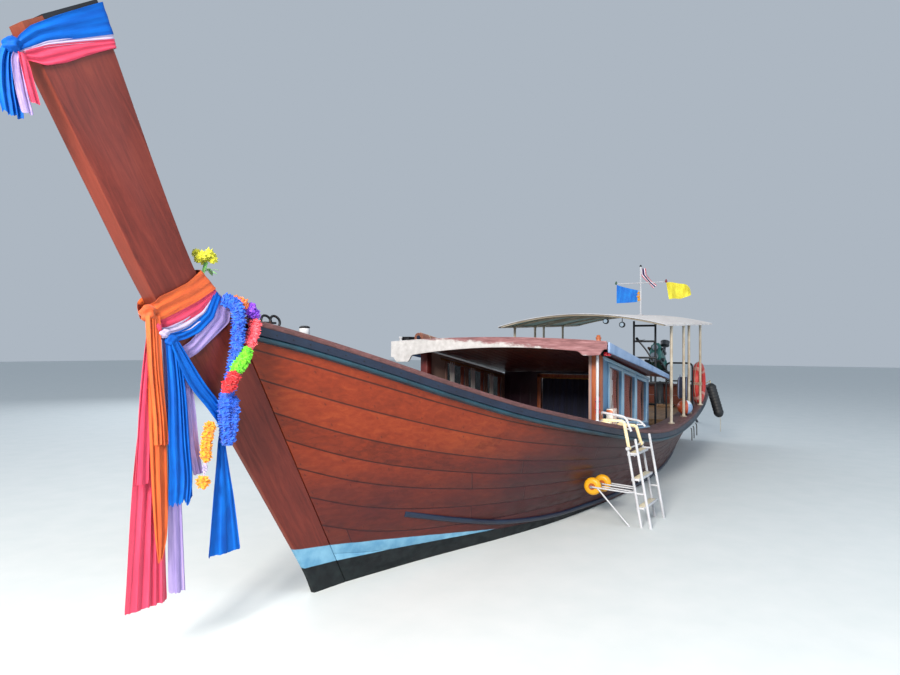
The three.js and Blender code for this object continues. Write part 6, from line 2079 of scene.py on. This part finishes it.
def engine():
    bed = softened("engine_bed", 0.003)
    finished(bed, "engine_bed_rails", IRON_PAINT, "engine_bed", body="engine_tilt")
    feet = []
    for x in (0.12, 0.45):
        for y in (-0.128, 0.128):
            feet += screw_heads([(x, y, 0.052)], UP, 0.012, 0.006)
            # The nut under the rail
            feet.append(drum((x, y, 0.008), (x, y, 0.0195), 0.011, 6, 0.001))
    tilted(feet, "engine_bed_bolts", STAINLESS)
    block = [bar((0.072, -0.103, 0.086), (0.518, 0.103, 0.298), 0.012),
        bar((0.092, -0.084, 0.297), (0.503, 0.084, 0.399), 0.008),
        bar((0.082, -0.126, 0.0524), (0.513, 0.126, 0.083), 0.006),
        bar((0.102, -0.058, 0.399), (0.493, 0.058, 0.443), 0.014)]
    block += [bar((x, -0.1085, 0.10), (x + 0.008, 0.1085, 0.285), 0.002)
        for x in (0.11, 0.20, 0.29, 0.38, 0.47)]
    block += [bar((x, -0.087, 0.305), (x + 0.004, 0.087, 0.392), 0.001)
        for x in [0.104 + 0.022 * k for k in range(18)]]
    block.append(turned((0.012, 0, 0.19), (1, 0, 0.19),
        [(0, 0.095), (0.004, 0.118), (0.03, 0.127), (0.066, 0.127), (0.0665, 0.104)], 40))
    tilted(block, "engine_castings", ENGINE_GREEN, "engine_block")
    steel = bolt_ring(0.0125, 0, 0.19, 0.108, 10, way=(-1, 0, 0))
    steel += screw_heads([(x, y, 0.442) for x in (0.13, 0.25, 0.36, 0.47) for y in (-0.038, 0.038)], UP,
        0.007, 0.004)
    for z, radius, deep in ((SHAFT_Z, 0.069, 0.041), (0.33, 0.054, 0.031)):
        steel.append(turned((0.518, 0, z), (1, 0, z),
            [(0, 0.03), (0.003, radius), (0.010, radius), (0.016, radius - 0.012), (0.020, radius - 0.012),
            (0.026, radius), (deep - 0.003, radius), (deep, 0.024)], 32))
        steel += bolt_ring(0.558 if radius > 0.06 else 0.5475, 0, z, 0.022, 4, 0.004)
    steel += [tube(smooth_path([(x, 0.104, 0.20), (x + 0.01, 0.118, 0.26), (x, 0.112, 0.31),
        (x, 0.086, 0.345)], 4), 0.0035, 8) for x in (0.16, 0.25, 0.34, 0.43)]
    tilted(steel, "engine_pulleys_and_bolts", STAINLESS)
    belt = [(0.536, 0.0575 * math.cos(a), SHAFT_Z + 0.0575 * math.sin(a))
        for a in [math.pi * (1 + k / 12) for k in range(13)]]
    belt += [(0.536, 0.0425 * math.cos(a), 0.33 + 0.0425 * math.sin(a))
        for a in [math.pi * k / 12 for k in range(13)]]
    tilted(tube(belt, 0.0045, 8, ring=True), "engine_belt", FENDER_RUBBER)
    small = [drum((0.19, -0.106, 0.175), (0.19, -0.135, 0.175), 0.036, 20),
        drum((0.40, 0.106, 0.13), (0.40, 0.160, 0.13), 0.036, 20)]
    small.append(raised((0.30, 0, 0.442), [(0, 0.02), (0.012, 0.02), (0.014, 0.028), (0.024, 0.028),
        (0.027, 0.02), (0.0275, 0)], 20))
    tilted(small, "engine_filter_and_cap", IRON_PAINT)

    y = -0.1403
    pipes = [tube(bent([(x, -0.0855, 0.345), (x, y, 0.345), (x - 0.02, y, 0.345)], 0.03, 6), 0.018, 14)
        for x in (0.15, 0.25, 0.35, 0.45)]
    pipes.append(tube([(0.132, y, 0.345), (0.468, y, 0.345)], 0.0235, 18))
    pipes.append(tube(bent([(0.15, y, 0.345), (0.15, y, 0.52), (0.062, y, 0.638)], 0.06, 8), 0.0215, 18))
    pipes.append(raised((0.15, y, 0.42), [(0, 0.024), (0.004, 0.040), (0.012, 0.0475), (0.030, 0.0475),
        (0.033, 0.045), (0.067, 0.045), (0.070, 0.0475), (0.088, 0.0475), (0.096, 0.040), (0.1, 0.024)],
        28))
    pipes += [bar((x - 0.026, -0.0935, 0.318), (x + 0.026, -0.0855, 0.372), 0.003)
        for x in (0.15, 0.25, 0.35, 0.45)]
    tilted(pipes, "exhaust_pipes", RUSTY_IRON, "exhaust")
    intake = [bar((0.162, 0.0856, 0.321), (0.438, 0.129, 0.369), 0.009),
        tube([(0.30, 0.1153, 0.345), (0.30, 0.1153, 0.455)], 0.0235, 18)]
    can = [(0, 0.06), (0.004, 0.078), (0.012, 0.0845), (0.04, 0.0845), (0.043, 0.080), (0.07, 0.080),
        (0.073, 0.0845), (0.095, 0.0845), (0.104, 0.074), (0.108, 0.03), (0.1085, 0)]
    intake.append(raised((0.30, 0.1153, 0.45), can, 36))
    tilted(intake, "air_cleaner_can", IRON_PAINT, "air_cleaner")
    wing = bar((0.282, 0.113, 0.558), (0.318, 0.1176, 0.5655), 0.002)
    tilted(wing, "air_cleaner_wing_nut", STAINLESS)

    start = 0.6106
    bar_path = [(start, 0, 0.036), (start + 0.5, 0, 0.046), (1.62, 0, 0.0115)]
    arm = [tube(smooth_path(bar_path, 8), 0.0168, 18),
        drum((start, 0, 0.036), (start + 0.013, 0, 0.036), 0.0395, 24)]
    arm += bolt_ring(start + 0.0125, 0, 0.036, 0.029, 4, 0.005)
    arm.append(bar((1.50, -0.004, 0.028), (1.54, 0.004, 0.075), 0.002))
    arm.append(tube([(1.52, 0.004, 0.068), (1.52, 0.05, 0.072), (1.56, 0.085, 0.070)], 0.005, 10))
    tilted(arm, "tiller_bar", STAINLESS, "tiller")
    grip = [(0, 0.018)] + [(0.006 + 0.0115 * k + d, 0.0235 if 0.002 < d < 0.008 else 0.0215)
        for k in range(12) for d in (0, 0.003, 0.0075)]
    grip += [(0.150, 0.0235), (0.155, 0.018), (0.156, 0)]
    tilted(turned((1.60, 0, 0.012), (1.756, 0, 0.005), grip, 24), "tiller_grip", FENDER_RUBBER, "tiller")

    end = -4.30
    tail = [turned((0.0095, 0, SHAFT_Z), (-1, 0, SHAFT_Z),
        [(0, 0.1095), (0.010, 0.1095), (0.012, 0.098), (0.10, 0.060), (0.118, 0.050), (0.128, 0.050),
        (0.1285, 0.0235)], 36)]
    tail.append(turned((-0.115, 0, SHAFT_Z), (-5, 0, SHAFT_Z),
        [(0, 0.024), (4.185, 0.024), (4.185, 0.0128), (4.12, 0.0128)], 24))
    tail += [drum((-x, 0, SHAFT_Z), (-x - 0.03, 0, SHAFT_Z), 0.029, 24) for x in (0.8, 1.9, 3.0, 4.265)]
    tail += bolt_ring(0.0005, 0, SHAFT_Z, 0.104, 8, 0.0055, (-1, 0, 0))
    fins = (((end + 0.04, -0.02), (end + 0.42, -0.02), (end + 0.25, -0.105), (end + 0.09, -0.188),
        (end + 0.055, -0.13)), ((end + 0.06, 0.02), (end + 0.70, 0.02), (end + 0.63, 0.042),
        (end + 0.56, 0.054), (end + 0.30, 0.034)))
    for outline in fins:
        tail.append(rounded(lofted([[(x, w, SHAFT_Z + z) for x, z in outline] for w in (-0.0045, 0.0045)]),
            0.002))
    tilted(tail, "tail_tube_and_fins", IRON_PAINT, "tail_tube")

    hub = end - 0.008
    blades = [turned((hub, 0, SHAFT_Z), (hub - 1, 0, SHAFT_Z),
        [(-0.064, 0.0118), (0, 0.0118), (0, 0.0285), (0.006, 0.030), (0.055, 0.029), (0.085, 0.022),
        (0.088, 0.016), (0.101, 0.015), (0.109, 0.009), (0.11, 0)], 32)]
    for side in (1, -1):
        def place(i, j):
            share = j / 18
            reach = 0.018 + 0.141 * share
            chord = 0.022 + 0.030 * math.sin(math.pi * min(1, share * 0.86 + 0.1)) ** 0.8
            chord *= math.sqrt(max(0.02, 1 - max(0, (share - 0.62) / 0.385) ** 2))
            across = (2 * i / 12 - 1) * chord
            pitch = 0.42 + 0.5 * share
            cup = 0.006 * (1 - (2 * i / 12 - 1) ** 2) * share
            return (hub - 0.048 + across * math.cos(pitch) - cup, side * across * math.sin(pitch),
                SHAFT_Z + side * reach)

        blade = laid(12, 18, place)
        shaped(blade, "SOLIDIFY", thickness=0.006, offset=0)
        blades.append(rounded(blade, 0.002, angle=50))
    tilted(blades, "propeller_blades", BRONZE, "propeller", body="propeller")


CREAM_PAINT = enamel("cream_paint", "efe0b8", "dcc48c", "8a5a34", roughness=0.4, chips=0.25)
CADDY = caddy_paint()
ROLLER_YELLOW = plastic("roller_yellow", "d89c14", "b87c10", roughness=0.4, rub=0.4)
ROLLER_HUB = plastic("roller_hub", "a8541c", "7a3410", roughness=0.45, rub=0.4)
STAINLESS = metal("stainless", "b8bcc0", "6a5648", roughness=0.28, rust=0.12)
IRON_PAINT = enamel("iron_paint", "2c3136", "474d52", "6e4430", roughness=0.45, chips=0.35)
RUSTY_IRON = metal("rusty_iron", "5c4a40", "7a3f22", roughness=0.6, metallic=0.6, rust=0.7)
ENGINE_GREEN = enamel("engine_green", "2f6f6a", "4a8882", "3a2a22", roughness=0.35, chips=0.3)
BRONZE = metal("propeller_bronze", "b5853f", "4f6a52", roughness=0.3, rust=0.25)

ladder_mount()
boarding_ladder()
engine_post()
engine()
